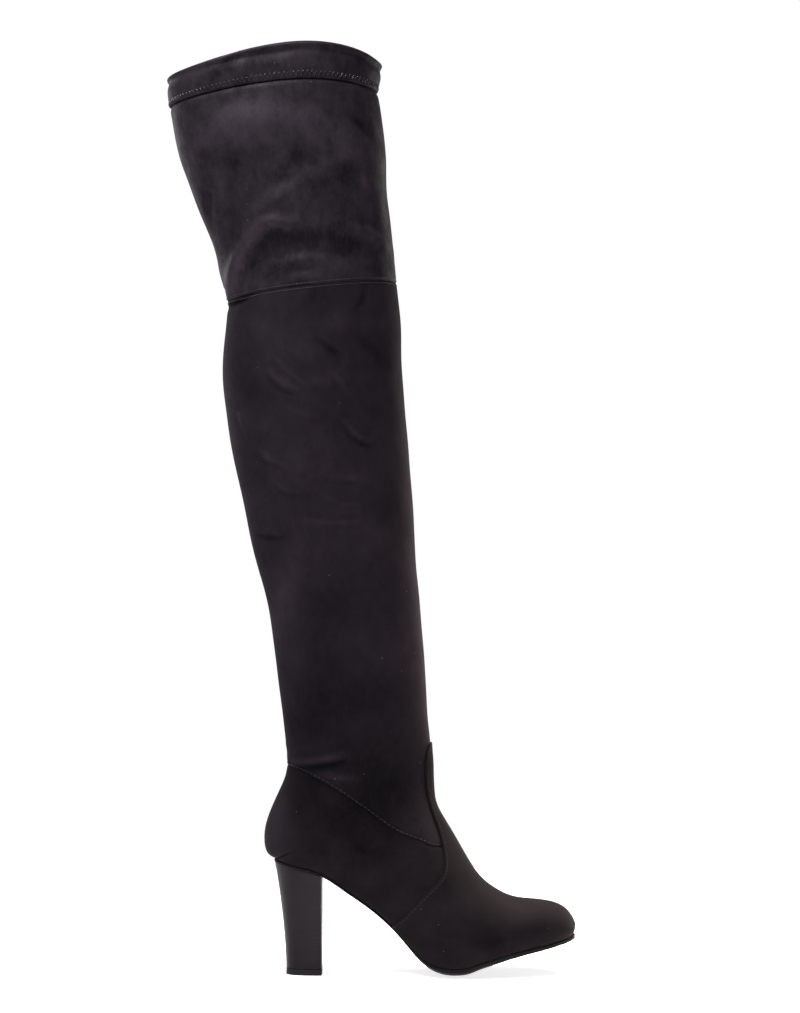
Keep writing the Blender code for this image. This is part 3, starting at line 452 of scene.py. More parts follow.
# Where the cloth is painted lighter (+) or darker (-): partly brushed nap, partly painted highlights and rim
# light along the edges and on the rim, and painted shade in troughs, dimples and under the toe. Columns:
# middle x and z, half width and half height in millimetres, slant in degrees (rising towards the toe), and
# amount.
NAP_AND_PAINTED_LIGHT = [
    ("under the hem", -43, 626, 14, 6, 12, 1.5),
    ("under the hem", -59, 621, 6, 4, 10, 0.7),
    ("band", 8, 661, 24, 6, 0, 0.8),
    ("rolled rim, back", -66, 662, 34, 2.2, 17, 2.4),
    ("rolled rim, middle", -10, 673, 30, 1.8, 2, 1.4),
    ("below the hem", 13, 638, 6, 4, 0, 0.6),
    ("upper right", -7, 622, 22, 10, 0, 0.5),
    ("right", 34, 596, 12, 16, 0, 0.6),
    ("slant", 16, 581, 16, 6, 33, 0.45),
    ("middle", -13, 562, 13, 9, 0, 0.25),
    ("front streak", 43, 576, 3, 9, 0, 0.5),
    ("knee ridge", -38, 542, 9, 9, 40, 0.35),
    ("spot over the seam", -1, 520, 4, 4, 0, 0.9),
    ("over the seam", 15, 513, 18, 5, 5, 0.6),
    ("back streak", -71, 560, 2, 18, 0, 0.3),
    ("under the hem, front", 26, 619, 9, 9, 0, 0.2),
    ("dark, back", -51, 592, 18, 12, 0, -0.65),
    ("dark, middle", 0, 591, 13, 9, 0, -0.6),
    ("dark, upper", -15, 608, 12, 4, 0, -0.35),
    ("dark slant", -28, 553, 16, 4, 25, -0.5),
    ("dark slant, front", 28, 579, 11, 6, 30, -0.5),
    ("knee trough", 12, 529, 42, 11, 3, -0.35),
    ("knee trough", -12, 534, 14, 7, 20, -0.2),
    ("dark, back edge", -75, 612, 6, 10, 0, -0.5),
    ("dark, front edge", 44, 616, 4, 9, 0, -0.45),
    ("band dimple", -53, 656, 6, 5, 0, -0.8),
    ("seam dimple", -3, 515, 4, 4, 0, -0.6),
    ("dark, low back", -55, 562, 7, 12, 0, -0.35),
    ("calf", 26, 473, 10, 7, 0, 0.6),
    ("calf", 51, 473, 7, 6, 0, 0.35),
    ("calf", 28, 435, 7, 6, 0, 0.25),
    ("calf", 11, 430, 9, 4, 0, 0.5),
    ("calf crease", -12, 430, 4, 3, -35, 0.5),
    ("calf", -30, 469, 8, 8, 0, 0.4),
    ("calf dark", 22, 453, 7, 4, -30, -0.2),
    ("calf dark", 42, 441, 6, 4, 0, -0.3),
    ("calf dark", -34, 423, 7, 7, 0, -0.3),
    ("calf dark", 49, 408, 9, 6, 0, -0.25),
    ("calf dark", -5, 349, 10, 5, 0, -0.2),
    ("calf dark", -32, 361, 7, 6, 0, -0.2),
    ("calf dark", 26, 343, 8, 2, 0, -0.25),
    ("calf dark", 58, 340, 9, 12, 0, -0.3),
    ("calf dark", -23, 318, 7, 2, 0, -0.4),
    ("front, low", 64, 293, 10, 24, 0, -0.3),
    ("shin", 44, 170, 90, 115, 0, -0.7),
    ("thigh middle", -18, 566, 62, 40, 0, -0.4),
    ("ankle", 54, 128, 40, 34, 0, -0.45),
    ("shin, behind", 10, 222, 18, 60, -8, -0.45),
    ("counter back", -22, 112, 14, 26, 0, 2.2),
    ("toe top", 168, 44, 26, 8, -12, 0.35),
    ("instep", 118, 74, 16, 7, -50, 0.2),
    ("under the toe", 130, 26, 60, 16, 8, -0.6),
    ("back edge, shin", -20, 235, 8, 70, -15, 0.4),
    ("front edge, shin", 86, 235, 6, 80, 0, 0.6),
    ("back, low", -26, 246, 6, 36, -20, 0.5),
    ("back edge", -58, 420, 9, 70, 8, 1.1),
    ("front edge", 76, 330, 6, 120, 0, 0.3),
]
NAP_AND_LIGHT_INNER_SHARE = 0.5
PAINTED_SHADE_PER_FOLD = 450.0           # painted shade: ridges of the folds are painted lighter, and troughs darker

INNER_SHIFT = (-7.0, 11.0)     # the inner side folds in the same way, moved by this much, in millimetres
INNER_SHARE = 0.8
SIDE_BLEND = 0.012             # half width of the strip where one side's folds give way to the other's
SWELL = 0.0008                 # height of the cloth's slow unevenness

SEAM_ROUND = 0.0007            # rounded edge of a panel at a seam
VAMP_ROUND = 0.0008
EDGE_DISTANCES = np.array([0.0, 0.1, 0.25, 0.45, 0.75, 1.2, 1.8]) * 1e-3

FURROW = 0.0003                # depth of the furrow along a seam
FURROW_WIDTH = 0.0022
HEM_FURROW = 0.0012            # depth of the furrow under the hem
HEM_DROP = 0.003               # the band reaches this far under its stitches
CREASE_PLACE = 0.7             # share of the calf's height round which its rows of points crowd
CREASE_SPREAD = 0.17
CREASE_CROWD = 1.6             # how much closer together the rows lie there
OUTER_CROWD = 0.2              # how much closer together the points lie on the outer side of the calf
NEAR_SEAM = 0.004              # where the distance to a seam is worked out exactly
HEM_PACE = 0.0077              # metres of the thigh form per section near the hem
HEM_EDGE = HEM_STITCH - HEM_DROP / HEM_PACE
BAND_BULGE = 0.0013            # the folded hem stands out from the form by this much
RIM_ROLL = 0.0011              # the rolled rim stands out from the band by this much
RIM_ROLL_WIDTH = 0.0022

THREAD = 0.00026               # radius of a sewing thread
SEAM_PITCH = 0.0036            # from one stitch of a seam to the next
SEAM_INSET = 0.0014            # from the counter seam to its stitches
KNEE_INSET = 0.0018            # from the knee seam to its stitches
VAMP_INSET = 0.0017            # from the vamp's edge to its stitches
HEM_PITCH = 0.0017
HEM_HEIGHT = 0.0038            # the slanted stitches of the hem are this long
HEM_SLANT = 68                 # degrees

HEEL_CORNER = 0.0009           # radius of the corners of the heel's breast
LAYER = 0.0013                 # height of one layer of the stacked heel
LINE_DEPTH = 0.00008           # depth of the line between two layers
SOLE_CORNER = 0.0006
INSOLE_CORNER = 0.0008
INSOLE_INSET = 0.0026          # from the feather edge in to the edge of the insole
INSOLE_TIP_INSET = 0.006       # the same at the toe, beyond INSOLE_INSET

# Rows and columns of points of each panel. A crowd is the power by which rows crowd towards the first one.
WING_ROWS, WING_CROWD, WING_COLUMNS = 100, 1.6, 66
HEEL_ROWS = 14
RING_ROWS, RING_CROWD = 64, 1.25
TONGUE_ROWS, TONGUE_CROWD, LEG_COLUMNS = 72, 1.8, 138
LEG_ROWS, BACK_COLUMNS = 286, 18
THIGH_ROWS, THIGH_COLUMNS = 146, 281
TAB_ROWS, TAB_COLUMNS = 110, 56
VAMP_ROWS, VAMP_CROWD, VAMP_COLUMNS = 96, 1.3, 48
BAND_ROWS, BAND_COLUMNS = 34, 201
SOLE_ROWS = 150
HEEL_LEVELS = 240
SEAM_POINTS = 400
INSIDE_STEP = 4                # the lining side of the leg and thigh has every fourth row

SURROUND_LIGHT = 0.14          # what the surround gives, of the white that the camera sees
FLOOR_GLOW = 0.78
CAMERA_PLACE = (0.070, -2.036, 0.272)
CAMERA_TARGET = (0.070, 0.0, 0.341)
CAMERA_LENS = 98.5             # millimetres, on a sensor 36 mm wide


def crease(x, z, row):
    """Height of one fold at x and z: a bell across a bent line, fading out along it towards both ends.

    The line is a parabola through the start, the middle and the end. A point's place along it is its
    place along the chord, and its distance is taken from the line's point at that place.
    """
    x0, z0, x1, z1, x2, z2, width, height = np.array(row[1:]) * 1e-3
    chord_x, chord_z = x2 - x0, z2 - z0
    length = math.hypot(chord_x, chord_z)
    along = ((x - x0) * chord_x + (z - z0) * chord_z) / length**2
    bend_x, bend_z = x1 - (x0 + x2) / 2, z1 - (z0 + z2) / 2
    on_line = np.clip(along, 0, 1)
    bow = 4 * on_line * (1 - on_line)
    off_x = x - (x0 + chord_x * on_line + bend_x * bow)
    off_z = z - (z0 + chord_z * on_line + bend_z * bow)
    distance = np.hypot(off_x, off_z)
    fade = np.sin(np.clip(0.12 + 0.76 * on_line, 0, 1) * math.pi) ** 0.8
    return height * fade * np.exp(-(distance / width) ** 2)


def swell(point, seed):
    """Slow unevenness of the cloth: a sum of waves of 40 to 110 mm in fixed, seeded directions."""
    draw = np.random.default_rng(seed)
    total = np.zeros(point.shape[:-1])
    for _ in range(9):
        way = draw.normal(size=3) * (1.0, 1.0, 0.6)
        way *= 2 * math.pi / draw.uniform(0.04, 0.11) / np.linalg.norm(way)
        total += np.sin(point @ way + draw.uniform(0, 2 * math.pi))
    return total / 9


def folds(point):
    """How far the cloth stands out from the form: the folds of its side and the slow unevenness."""
    x, y, z = np.moveaxis(point, -1, 0)
    outer, inner = np.zeros_like(x), np.zeros_like(x)
    for row in FOLDS:
        outer += crease(x, z, row)
        inner += crease(x - INNER_SHIFT[0] * 1e-3, z - INNER_SHIFT[1] * 1e-3, row) * INNER_SHARE
    share = smooth_step((SIDE_BLEND - y) / (2 * SIDE_BLEND))
    leg = smooth_step((z - 0.13) / 0.12)
    return inner + (outer - inner) * share + SWELL * leg * (swell(point, 5) + 0.7 * swell(point * 2.3, 6))


def nap_and_painted_light_at(point):
    """How much lighter or darker the cloth is painted at a point: a bell for each row of the table, slanted,
    for brushed nap and painted highlights and shade, plus painted shade on the folds.
    """
    x, y, z = np.moveaxis(point, -1, 0)
    total = np.zeros_like(x)
    for _, mid_x, mid_z, wide, high, slant, amount in NAP_AND_PAINTED_LIGHT:
        turned = complex(math.cos(math.radians(slant)), -math.sin(math.radians(slant)))
        away = ((x - mid_x * 1e-3) + 1j * (z - mid_z * 1e-3)) * turned
        total += amount * np.exp(-(away.real / (wide * 1e-3)) ** 2 - (away.imag / (high * 1e-3)) ** 2)
    share = smooth_step((SIDE_BLEND - y) / (2 * SIDE_BLEND))
    return total * (NAP_AND_LIGHT_INNER_SHARE + (1 - NAP_AND_LIGHT_INNER_SHARE) * share) + PAINTED_SHADE_PER_FOLD * folds(point)


def rounding(distance, radius):
    """How far a rounded edge falls away at a distance from the edge: a quarter circle."""
    inside = np.clip(1 - distance / radius, 0, 1)
    return radius * (1 - np.sqrt(1 - inside**2))


def pace(form, s, turn, along_s):
    """Metres of surface per unit of s, or of turn, at a place on the form."""
    step = (EPSILON, 0) if along_s else (0, EPSILON)
    ahead, behind = form.point(s + step[0], turn + step[1]), form.point(s - step[0], turn - step[1])
    return np.maximum(np.linalg.norm(ahead - behind, axis=-1) / (2 * EPSILON), 1e-4)


def side_line(table, shift=0.0):
    """A seam in side view, as points x and z, moved by shift to the right hand of the way it runs."""
    knots = np.arange(len(table))
    rows = np.stack([foot_x(column(table, 1)), SEAT_HEIGHT * column(table, 2)], axis=-1)
    line = natural_spline(knots, rows, np.linspace(0, knots[-1], 400))
    way = np.gradient(line, axis=0)
    way /= np.linalg.norm(way, axis=-1, keepdims=True)
    return line + np.stack([way[:, 1], -way[:, 0]], axis=-1) * shift


def crossing(beyond, s, turn):
    """Share of the way along each row of s and turn at which beyond(x, z) first turns positive."""
    s, turn = np.broadcast_arrays(s, turn)
    point = BOOT.point(s, turn)
    value = beyond(point[..., 0], point[..., 2])
    hit = np.argmax(value > 0, axis=1)
    row = np.arange(len(value))
    before = np.maximum(hit - 1, 0)
    low, high = value[row, before], value[row, hit]
    part = np.where(hit > 0, -low / np.where(high == low, 1, high - low), 0)
    return (before + np.clip(part, 0, 1)) / (value.shape[1] - 1)


def section_at(beyond, turn, first, last):
    """Section number at which each turn of the boot form passes a seam, looking from first to last."""
    s = np.linspace(first, last, SECTION_STEPS)[None]
    return first + (last - first) * crossing(beyond, s, np.atleast_1d(turn)[:, None])


def turn_at(beyond, s, first, last):
    """Turn at which each section of the boot form passes a seam, looking from first to last."""
    turn = np.linspace(first, last, SECTION_STEPS)[None]
    return first + (last - first) * crossing(beyond, np.atleast_1d(s)[:, None], turn)


class CounterSeam:
    """The counter seam on the boot form, or a line beside it.

    Ahead of the corner the sections cross the seam, and behind it the turns do.
    """

    def __init__(self, shift=0.0):
        line = side_line(COUNTER_SEAM, -shift)
        self.above = lambda x, z: z - np.interp(x, line[:, 0], line[:, 1])
        self.ridge = float(section_at(self.above, 0.0, *RIDGE_SEARCH)[0])
        self.corner = float(section_at(self.above, BACK_CORNER, *LEG_SEARCH)[0])

    def sections(self, turn):
        return section_at(self.above, turn, *LEG_SEARCH)

    def front(self, count, power):
        """Sections from the ridge to the corner, and the turn at which each meets the seam."""
        s = self.ridge + (self.corner - self.ridge) * np.linspace(0, 1, count) ** power
        turn = turn_at(self.above, s, 1, 0)
        turn[0], turn[-1] = 0, BACK_CORNER
        return s, turn

    def run(self, count=240):
        """Sections and turns along the whole seam, from the ridge to the back of the leg."""
        s, turn = self.front(count, 2)
        behind = np.linspace(BACK_CORNER, 1, count // 4)[1:]
        return np.concatenate([s, self.sections(behind)]), np.concatenate([turn, behind])


class VampEdge:
    """The vamp's edge on the boot form, or a line beside it.

    From the feather edge to its foremost point, its corner, the turns cross it. From there up to the top
    of the tab the sections do.
    """

    def __init__(self, shift=0.0):
        line = side_line(VAMP_EDGE, shift)
        self.behind = lambda x, z: np.interp(z, line[:, 1], line[:, 0]) - x
        self.turns = np.linspace(VAMP_START, 1, 600)
        self.sections = section_at(self.behind, self.turns, *SIDE_SEARCH)
        corner = int(np.argmin(self.sections))
        self.turn, self.section = float(self.turns[corner]), float(self.sections[corner])
        self.top = float(section_at(self.behind, 0.0, *TAB_SEARCH)[0])

    def tab(self, count):
        """Sections from the corner to the top of the tab, and the turn of its edge at each."""
        s = self.section + (self.top - self.section) * (1 - np.cos(np.linspace(0, math.pi, count))) / 2
        turn = np.minimum(turn_at(self.behind, s, 0, TAB_WIDEST), self.turn)
        turn[0], turn[-1] = self.turn, 1e-5
        return s, turn

    def run(self, count=240):
        """Sections and turns along the whole edge, from the feather edge to the top of the tab."""
        turn = np.linspace(1, self.turn, count // 2)
        s, tab_turn = self.tab(count)
        return (np.concatenate([np.interp(turn, self.turns, self.sections), s[1:]]),
                np.concatenate([turn, tab_turn[1:]]))


def distance_to_line(points, line):
    """Distance of each point to a line: to its nearest segment, or its nearest point when far off."""
    flat = points.reshape(-1, 3)
    start, way = line[:-1], np.diff(line, axis=0)
    square = np.maximum(np.sum(way**2, axis=1), 1e-18)
    length = np.sum(line**2, axis=1)
    nearest = np.empty(len(flat))
    for first in range(0, len(flat), 20000):
        part = flat[first:first + 20000]
        apart = np.sum(part**2, axis=1) + (length - 2 * part @ line.T).min(axis=1)
        rough = np.sqrt(np.maximum(apart, 0))
        close = np.flatnonzero(rough < NEAR_SEAM)
        span = part[close, None] - start
        share = np.clip(np.sum(span * way, axis=2) / square, 0, 1)
        rough[close] = np.linalg.norm(span - way * share[..., None], axis=2).min(axis=1)
        nearest[first:first + 20000] = rough
    return nearest.reshape(points.shape[:-1])


def both_sides(s, turn):
    """Points of the boot form along a line on the outer side, and back along it on the inner side."""
    return BOOT.point(np.concatenate([s, s[::-1]]), np.concatenate([-turn, turn[::-1]]))


def grid_quads(rows, columns, start=0):
    """Quads of a grid of points stored row by row."""
    corner = start + np.arange(rows * columns).reshape(rows, columns)[:-1, :-1].ravel()
    return np.stack([corner, corner + 1, corner + columns + 1, corner + columns], axis=-1)


def ribbon(first, second):
    """Quads between two lines of point numbers."""
    return np.stack([first[:-1], first[1:], second[1:], second[:-1]], axis=-1)


def add_piece(name, points, faces, finish, nodes=(), merge=True, smooth_angle=60):
    """A piece made of points and faces, riding on the root body, its doubles merged and faces outwards."""
    mesh = bpy.data.meshes.new(name)
    mesh.from_pydata(np.asarray(points).tolist(), [], [list(f) for f in faces])
    if merge:
        work = bmesh.new()
        work.from_mesh(mesh)
        bmesh.ops.remove_doubles(work, verts=work.verts, dist=MERGE)
        bmesh.ops.dissolve_degenerate(work, edges=work.edges, dist=MERGE)
        bmesh.ops.recalc_face_normals(work, faces=work.faces)
        if work.calc_volume(signed=True) < 0:
            bmesh.ops.reverse_faces(work, faces=work.faces)
        work.to_mesh(mesh)
        work.free()
    mesh.shade_smooth()
    if smooth_angle:
        mesh.set_sharp_from_angle(angle=math.radians(smooth_angle))
    place = np.empty(len(mesh.vertices) * 3)
    mesh.vertices.foreach_get("co", place)
    # the attribute nap holds brushed nap together with painted highlights and painted shade
    mesh.attributes.new("nap", "FLOAT", "POINT").data.foreach_set("value", nap_and_painted_light_at(place.reshape(-1, 3)))
    obj = bpy.data.objects.new(name, mesh)
    obj.data.materials.append(finish)
    bpy.context.scene.collection.objects.link(obj)
    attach(obj, "root")
    if nodes:
        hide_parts(*nodes)
    return obj


def patch(s, turn, rims=(), keep=1):
    """A grid of places on a form, the sides with a rim, and which of its rows the lining side has."""
    s, turn = np.broadcast_arrays(s, turn)
    return s, turn, rims, keep


def cloth_wall(name, form, patches, lift_of, lining, finish, nodes, close_inside=None):
    """A wall of cloth over patches of a form that share their border points.

    lift_of(point) says how far the outside stands out from the folded form, and lining how far the inside
    does. A rim joins the two along each side that a patch names. close_inside may bring the inside's
    points together.
    """
    points, faces, used = [], [], 0
    for s, turn, rims, keep in patches:
        base = form.point(s, turn)
        normal, relief = form.normal(s, turn), folds(base)
        outside = base + normal * (relief + lift_of(base))[..., None]
        inside = base + normal * (relief + lining)[..., None]
        if close_inside:
            inside = close_inside(s, turn, inside)
        rows = np.unique(np.append(np.arange(0, len(s), keep), len(s) - 1))
        inside = inside[rows]
        if form.feather_end > 0:
            for grid, at in ((outside, s), (inside, s[rows])):
                floor = feather_height(grid[..., 0])
                grid[..., 2] = np.where(at < form.feather_end, np.maximum(grid[..., 2], floor), grid[..., 2])
        outer = used + np.arange(s.size).reshape(s.shape)
        inner = used + s.size + np.arange(inside[..., 0].size).reshape(inside.shape[:2])
        points += [outside.reshape(-1, 3), inside.reshape(-1, 3)]
        faces += [grid_quads(*s.shape, used), grid_quads(*inner.shape, used + s.size)[:, ::-1]]
        edges = {"start": (outer[0], inner[0]), "end": (inner[-1], outer[-1])}
        if keep == 1:
            edges |= {"left": (inner[:, 0], outer[:, 0]), "right": (outer[:, -1], inner[:, -1])}
        faces += [ribbon(*edges[side]) for side in rims]
        used += s.size + inner.size
    return add_piece(name, np.concatenate(points), np.concatenate(faces), finish, nodes)


def cloth_line(form, s, turn, lift=0.0):
    """Points and outward normals along a line on the folded cloth."""
    base, normal = form.point(s, turn), form.normal(s, turn)
    return base + normal * (folds(base) + lift)[..., None], normal


def sunk_at(line, furrow=FURROW):
    """Lift of a panel near a seam line: a rounded edge in a shallow furrow."""
    def lift(point):
        distance = np.maximum(distance_to_line(point, line) - GAP / 2, 0)
        return -rounding(distance, SEAM_ROUND) - furrow * np.exp(-(distance / FURROW_WIDTH) ** 2)
    return lift


def edge_shares(distances, whole):
    """Shares of whole, for each of its rows, that lie at the edge distances from its far end."""
    return 1 - np.minimum(distances / np.maximum(whole, 1e-5)[:, None], np.linspace(0, 0.5, len(distances)))


def rows_between(start, end, low_pace, high_pace, count, crowd=0.0):
    """Section numbers in rows from start to end: at the edge distances near either one, and even between.

    crowd brings the rows closer together about CREASE_PLACE, a share of the way, where the sharp creases lie.
    """
    near_start = start + EDGE_DISTANCES[:, None] / low_pace
    near_end = end - EDGE_DISTANCES[:, None] / high_pace
    share = np.linspace(0, 1, count)
    travelled = np.cumsum(1 + crowd * np.exp(-((share - CREASE_PLACE) / CREASE_SPREAD) ** 2))
    share = np.interp(share, (travelled - travelled[0]) / (travelled[-1] - travelled[0]), share)
    even = near_start[-1] + (near_end[-1] - near_start[-1]) * share[1:-1, None]
    return np.concatenate([near_start, even, near_end[::-1]])


def across_panel(near, across):
    """Shares of a panel's half width from edge to edge: near at both edges, and across between them."""
    return np.concatenate([-near, near[:, -1:] * across, near[:, ::-1]], axis=1)


def make_foot(seam, finish):
    """The lasted foot, open at the ankle and underneath.

    Up to the section where the counter seam meets the ridge, the rings go from feather edge to feather
    edge. From there on there are two wings, each from the seam down to the feather edge, which join round
    the back of the heel.
    """
    s, edge = seam.front(WING_ROWS, WING_CROWD)
    low = np.minimum(edge + GAP / 2 / pace(BOOT, s, edge + EPSILON, False), 1)
    low[0] = 0
    near = edge_shares(EDGE_DISTANCES, (1 - low) * pace(BOOT, s, np.clip(low, 0, 0.99), False))
    share = 1 - np.concatenate([near, near[:, -1:] * np.linspace(1, 0, WING_COLUMNS)[1:]], axis=1)
    turn = low[:, None] + (1 - low[:, None]) * share
    closed = int(np.argmax(s >= BOOT.feather_end))
    back_end = seam.sections(turn[-1])
    back_pace = pace(BOOT, back_end, np.clip(turn[-1], 0, 0.99), True)
    back_height = np.maximum(back_end - seam.corner - GAP / 2 / back_pace, 0)
    back_s = seam.corner + back_height * np.sin(np.linspace(0, math.pi / 2, HEEL_ROWS))[:, None]
    ring_s = seam.ridge * np.linspace(0, 1, RING_ROWS)[:, None] ** RING_CROWD
    patches = []
    for side in (-1, 1):
        patches += [patch(ring_s, side * turn[0], ["right"]),
                    patch(s[:closed + 1, None], side * turn[:closed + 1], ["left", "right"]),
                    patch(s[closed:, None], side * turn[closed:], ["left"]),
                    patch(back_s, side * turn[-1], ["end"])]
    pole = BOOT.offset(np.array(HOLLOW_START), np.array(-1.0), -UPPER_WALL) * (1, 0, 1)

    def close_toe(s, turn, inside):
        """Where the toe is too low for a hollow, bring the inside together on a flat wall."""
        front = BOOT.offset(np.full(s.shape, HOLLOW_START), turn, -UPPER_WALL)
        flat = pole + (front - pole) * (s / HOLLOW_START)[..., None]
        return np.where((s < HOLLOW_START)[..., None], flat, inside)

    cloth_wall("foot_panel", BOOT, patches, sunk_at(both_sides(*seam.run())), -UPPER_WALL, finish,
               ["upper"], close_toe)


def make_calf_panel(seam, finish):
    """The leg from the counter seam to the knee seam.

    Its lower part is a tongue between the two arms of the seam. The rest goes right round the leg, and
    starts at the seam behind the tongue.
    """
    s, edge = seam.front(TONGUE_ROWS, TONGUE_CROWD)
    near = edge_shares(EDGE_DISTANCES + GAP / 2, edge * pace(BOOT, s, np.minimum(edge, 0.99), False))
    across = np.linspace(-1, 1, LEG_COLUMNS)[1:-1]
    across -= OUTER_CROWD * (1 - across**2)
    share = across_panel(near, across)
    patches = [patch(s[:, None], edge[:, None] * share, ["left", "right"])]

    middle = BACK_CORNER * share[-1]
    behind = np.linspace(middle[-1], 1, BACK_COLUMNS)
    start = seam.sections(behind)
    settle = smooth_step((behind - behind[0]) / 0.04)
    gap = GAP / 2 / pace(BOOT, start, np.clip(behind, 0, 0.99), True)
    start = start + (seam.corner - start[0]) * (1 - settle) + gap * settle
    for turn, first, rims in ((middle, np.full(middle.shape, seam.corner), ["end"]),
                              (behind, start, ["start", "end"]), (-behind, start, ["start", "end"])):
        inside = np.clip(turn, -0.99, 0.99)
        low_pace = pace(BOOT, first, inside, True)
        high_pace = pace(BOOT, KNEE - 2 * EPSILON, inside, True)
        rows = rows_between(first, KNEE - GAP / high_pace, low_pace, high_pace, LEG_ROWS, CREASE_CROWD)
        patches.append(patch(rows, turn, rims, keep=INSIDE_STEP))
    knee = BOOT.point(np.full(SEAM_POINTS, float(KNEE)), np.linspace(-1, 1, SEAM_POINTS))
    seams = [sunk_at(both_sides(*seam.run())), sunk_at(knee)]
    cloth_wall("calf_panel", BOOT, patches, lambda point: sum(sunk(point) for sunk in seams), -SHAFT_WALL,
               finish, ["shaft"])


def make_thigh_panel(finish):
    """The leg from the knee seam to the hem."""
    turn = np.linspace(-1, 1, THIGH_COLUMNS)
    low_pace = pace(THIGH, 2 * EPSILON, np.clip(turn, -0.99, 0.99), True)
    end = np.full(turn.shape, HEM_EDGE - GAP / HEM_PACE)
    rows = rows_between(np.zeros(turn.shape), end, low_pace, HEM_PACE, THIGH_ROWS)
    lines = [THIGH.point(np.full(turn.shape, at), turn) for at in (0.0, float(HEM_EDGE))]
    seams = [sunk_at(lines[0]), sunk_at(lines[1], HEM_FURROW)]
    cloth_wall("thigh_cloth", THIGH, [patch(rows, turn, ["start", "end"], keep=INSIDE_STEP)],
               lambda point: sum(sunk(point) for sunk in seams), -SHAFT_WALL, finish,
               ["thigh_panel"])


def make_vamp(edge, finish):
    """The overlay over the toe and the instep, with the tab up the ankle, ending in a rounded cut edge.

    Its foot part has one line per turn, from the toe back to the edge. Ahead of the tab these lines end
    at the section of the edge's foremost point, where the tab's rings take over.
    """
    s, half = edge.tab(TAB_ROWS)
    near = edge_shares(EDGE_DISTANCES, half * pace(BOOT, s, half, False))
    share = across_panel(near, np.linspace(-1, 1, TAB_COLUMNS)[1:-1])
    patches = [patch(s[:, None], half[:, None] * share, ["left", "right", "end"])]
    outer = np.linspace(edge.turn, 1, VAMP_COLUMNS)
    for turn, rims in ((edge.turn * share[0], []), (outer, ["end", "right"]), (-outer, ["end", "right"])):
        crossed = np.interp(np.abs(turn), edge.turns, edge.sections)
        end = np.where(np.abs(turn) > edge.turn, crossed, edge.section)
        near_end = end - EDGE_DISTANCES[:, None] / pace(BOOT, end, np.clip(turn, -0.99, 0.99), True)
        even = np.linspace(0, 1, VAMP_ROWS)[:-1, None] ** VAMP_CROWD
        rows = np.concatenate([near_end[-1] * even, near_end[::-1]])
        patches.append(patch(rows, turn, rims))
    line = both_sides(*edge.run())
    cloth_wall("vamp_panel", BOOT, patches,
               lambda point: GAP + VAMP_LEATHER - 0.95 * rounding(distance_to_line(point, line), VAMP_ROUND),
               GAP * 0.6, finish, ["vamp"])


def make_band(finish):
    """The folded hem: a closed loop of cloth carried round the opening.

    The loop runs up the outside, over the rim on a half circle, down the inside, and back under the lower
    edge.
    """
    turn = np.linspace(-1, 1, BAND_COLUMNS)
    radius = BAND_WALL / 2
    rim = HEM_TOP - radius / HEM_PACE
    up = np.concatenate([HEM_EDGE + EDGE_DISTANCES / HEM_PACE,
                         np.linspace(HEM_EDGE + 0.0026 / HEM_PACE, rim, BAND_ROWS)])
    bulge = BAND_BULGE * np.sin(np.clip((up - HEM_EDGE) / (rim - HEM_EDGE), 0, 1) * math.pi) ** 0.6
    bulge -= rounding((up - HEM_EDGE) * HEM_PACE, SEAM_ROUND)
    bulge += RIM_ROLL * (np.exp(-((rim - up) * HEM_PACE / RIM_ROLL_WIDTH) ** 2)
                         - np.exp(-(((rim - up) * HEM_PACE - 2 * RIM_ROLL_WIDTH) / RIM_ROLL_WIDTH) ** 2))
    angle = np.linspace(0, math.pi, 13)[1:-1]
    down = np.linspace(rim, HEM_EDGE, 12)
    s = np.concatenate([up, rim + radius / HEM_PACE * np.sin(angle), down])
    lift = np.concatenate([bulge, radius * (np.cos(angle) - 1), np.full(len(down), -BAND_WALL)])
    grid_s, grid_turn = np.meshgrid(s, turn, indexing="ij")
    loop, _ = cloth_line(THIGH, grid_s, grid_turn, lift[:, None])
    index = np.arange(grid_s.size).reshape(grid_s.shape)
    faces = np.concatenate([grid_quads(*grid_s.shape), ribbon(index[-1], index[0])])
    add_piece("hem_band", loop.reshape(-1, 3), faces, finish, ["top_band"])


def sole_profile(corner):
    """Half the cross section of the sole, from the middle of its bottom to the middle of its top.

    Columns: share of the half width; how far the outline is grown, in corner radii below zero; height as
    a share of corner radii from the bottom (first) or the top (second). The corners are quarter circles.
    """
    across = np.sin(np.linspace(0, math.pi / 2, 18))
    bend = np.linspace(0, math.pi / 2, 6)
    share = np.concatenate([across, np.ones(12), across[::-1]])
    grow = np.concatenate([-np.ones(18), np.sin(bend) - 1, np.sin(bend[::-1]) - 1, -np.ones(18)])
    from_low = np.concatenate([np.zeros(18), 1 - np.cos(bend), np.zeros(24)])
    from_high = np.concatenate([np.zeros(24), 1 - np.cos(bend[::-1]), np.zeros(18)])
    bottom = np.arange(len(share)) < 24
    return share, grow * corner, np.where(bottom, from_low, from_high) * corner, bottom


def lofted_block(name, loop, finish, node, smooth_angle):
    """A closed block through one loop of points per row, with a cap of quads at either end."""
    rows, columns = loop.shape[:2]
    index = np.arange(rows * columns).reshape(rows, columns)
    wrap = np.stack([index[:-1, -1], index[:-1, 0], index[1:, 0], index[1:, -1]], axis=-1)
    half = columns // 2
    caps = [ribbon(index[row, :half], index[row, ::-1][:half]) for row in (0, -1)]
    faces = np.concatenate([grid_quads(rows, columns), wrap, *caps])
    add_piece(name, loop.reshape(-1, 3), faces, finish, [node], smooth_angle=smooth_angle)


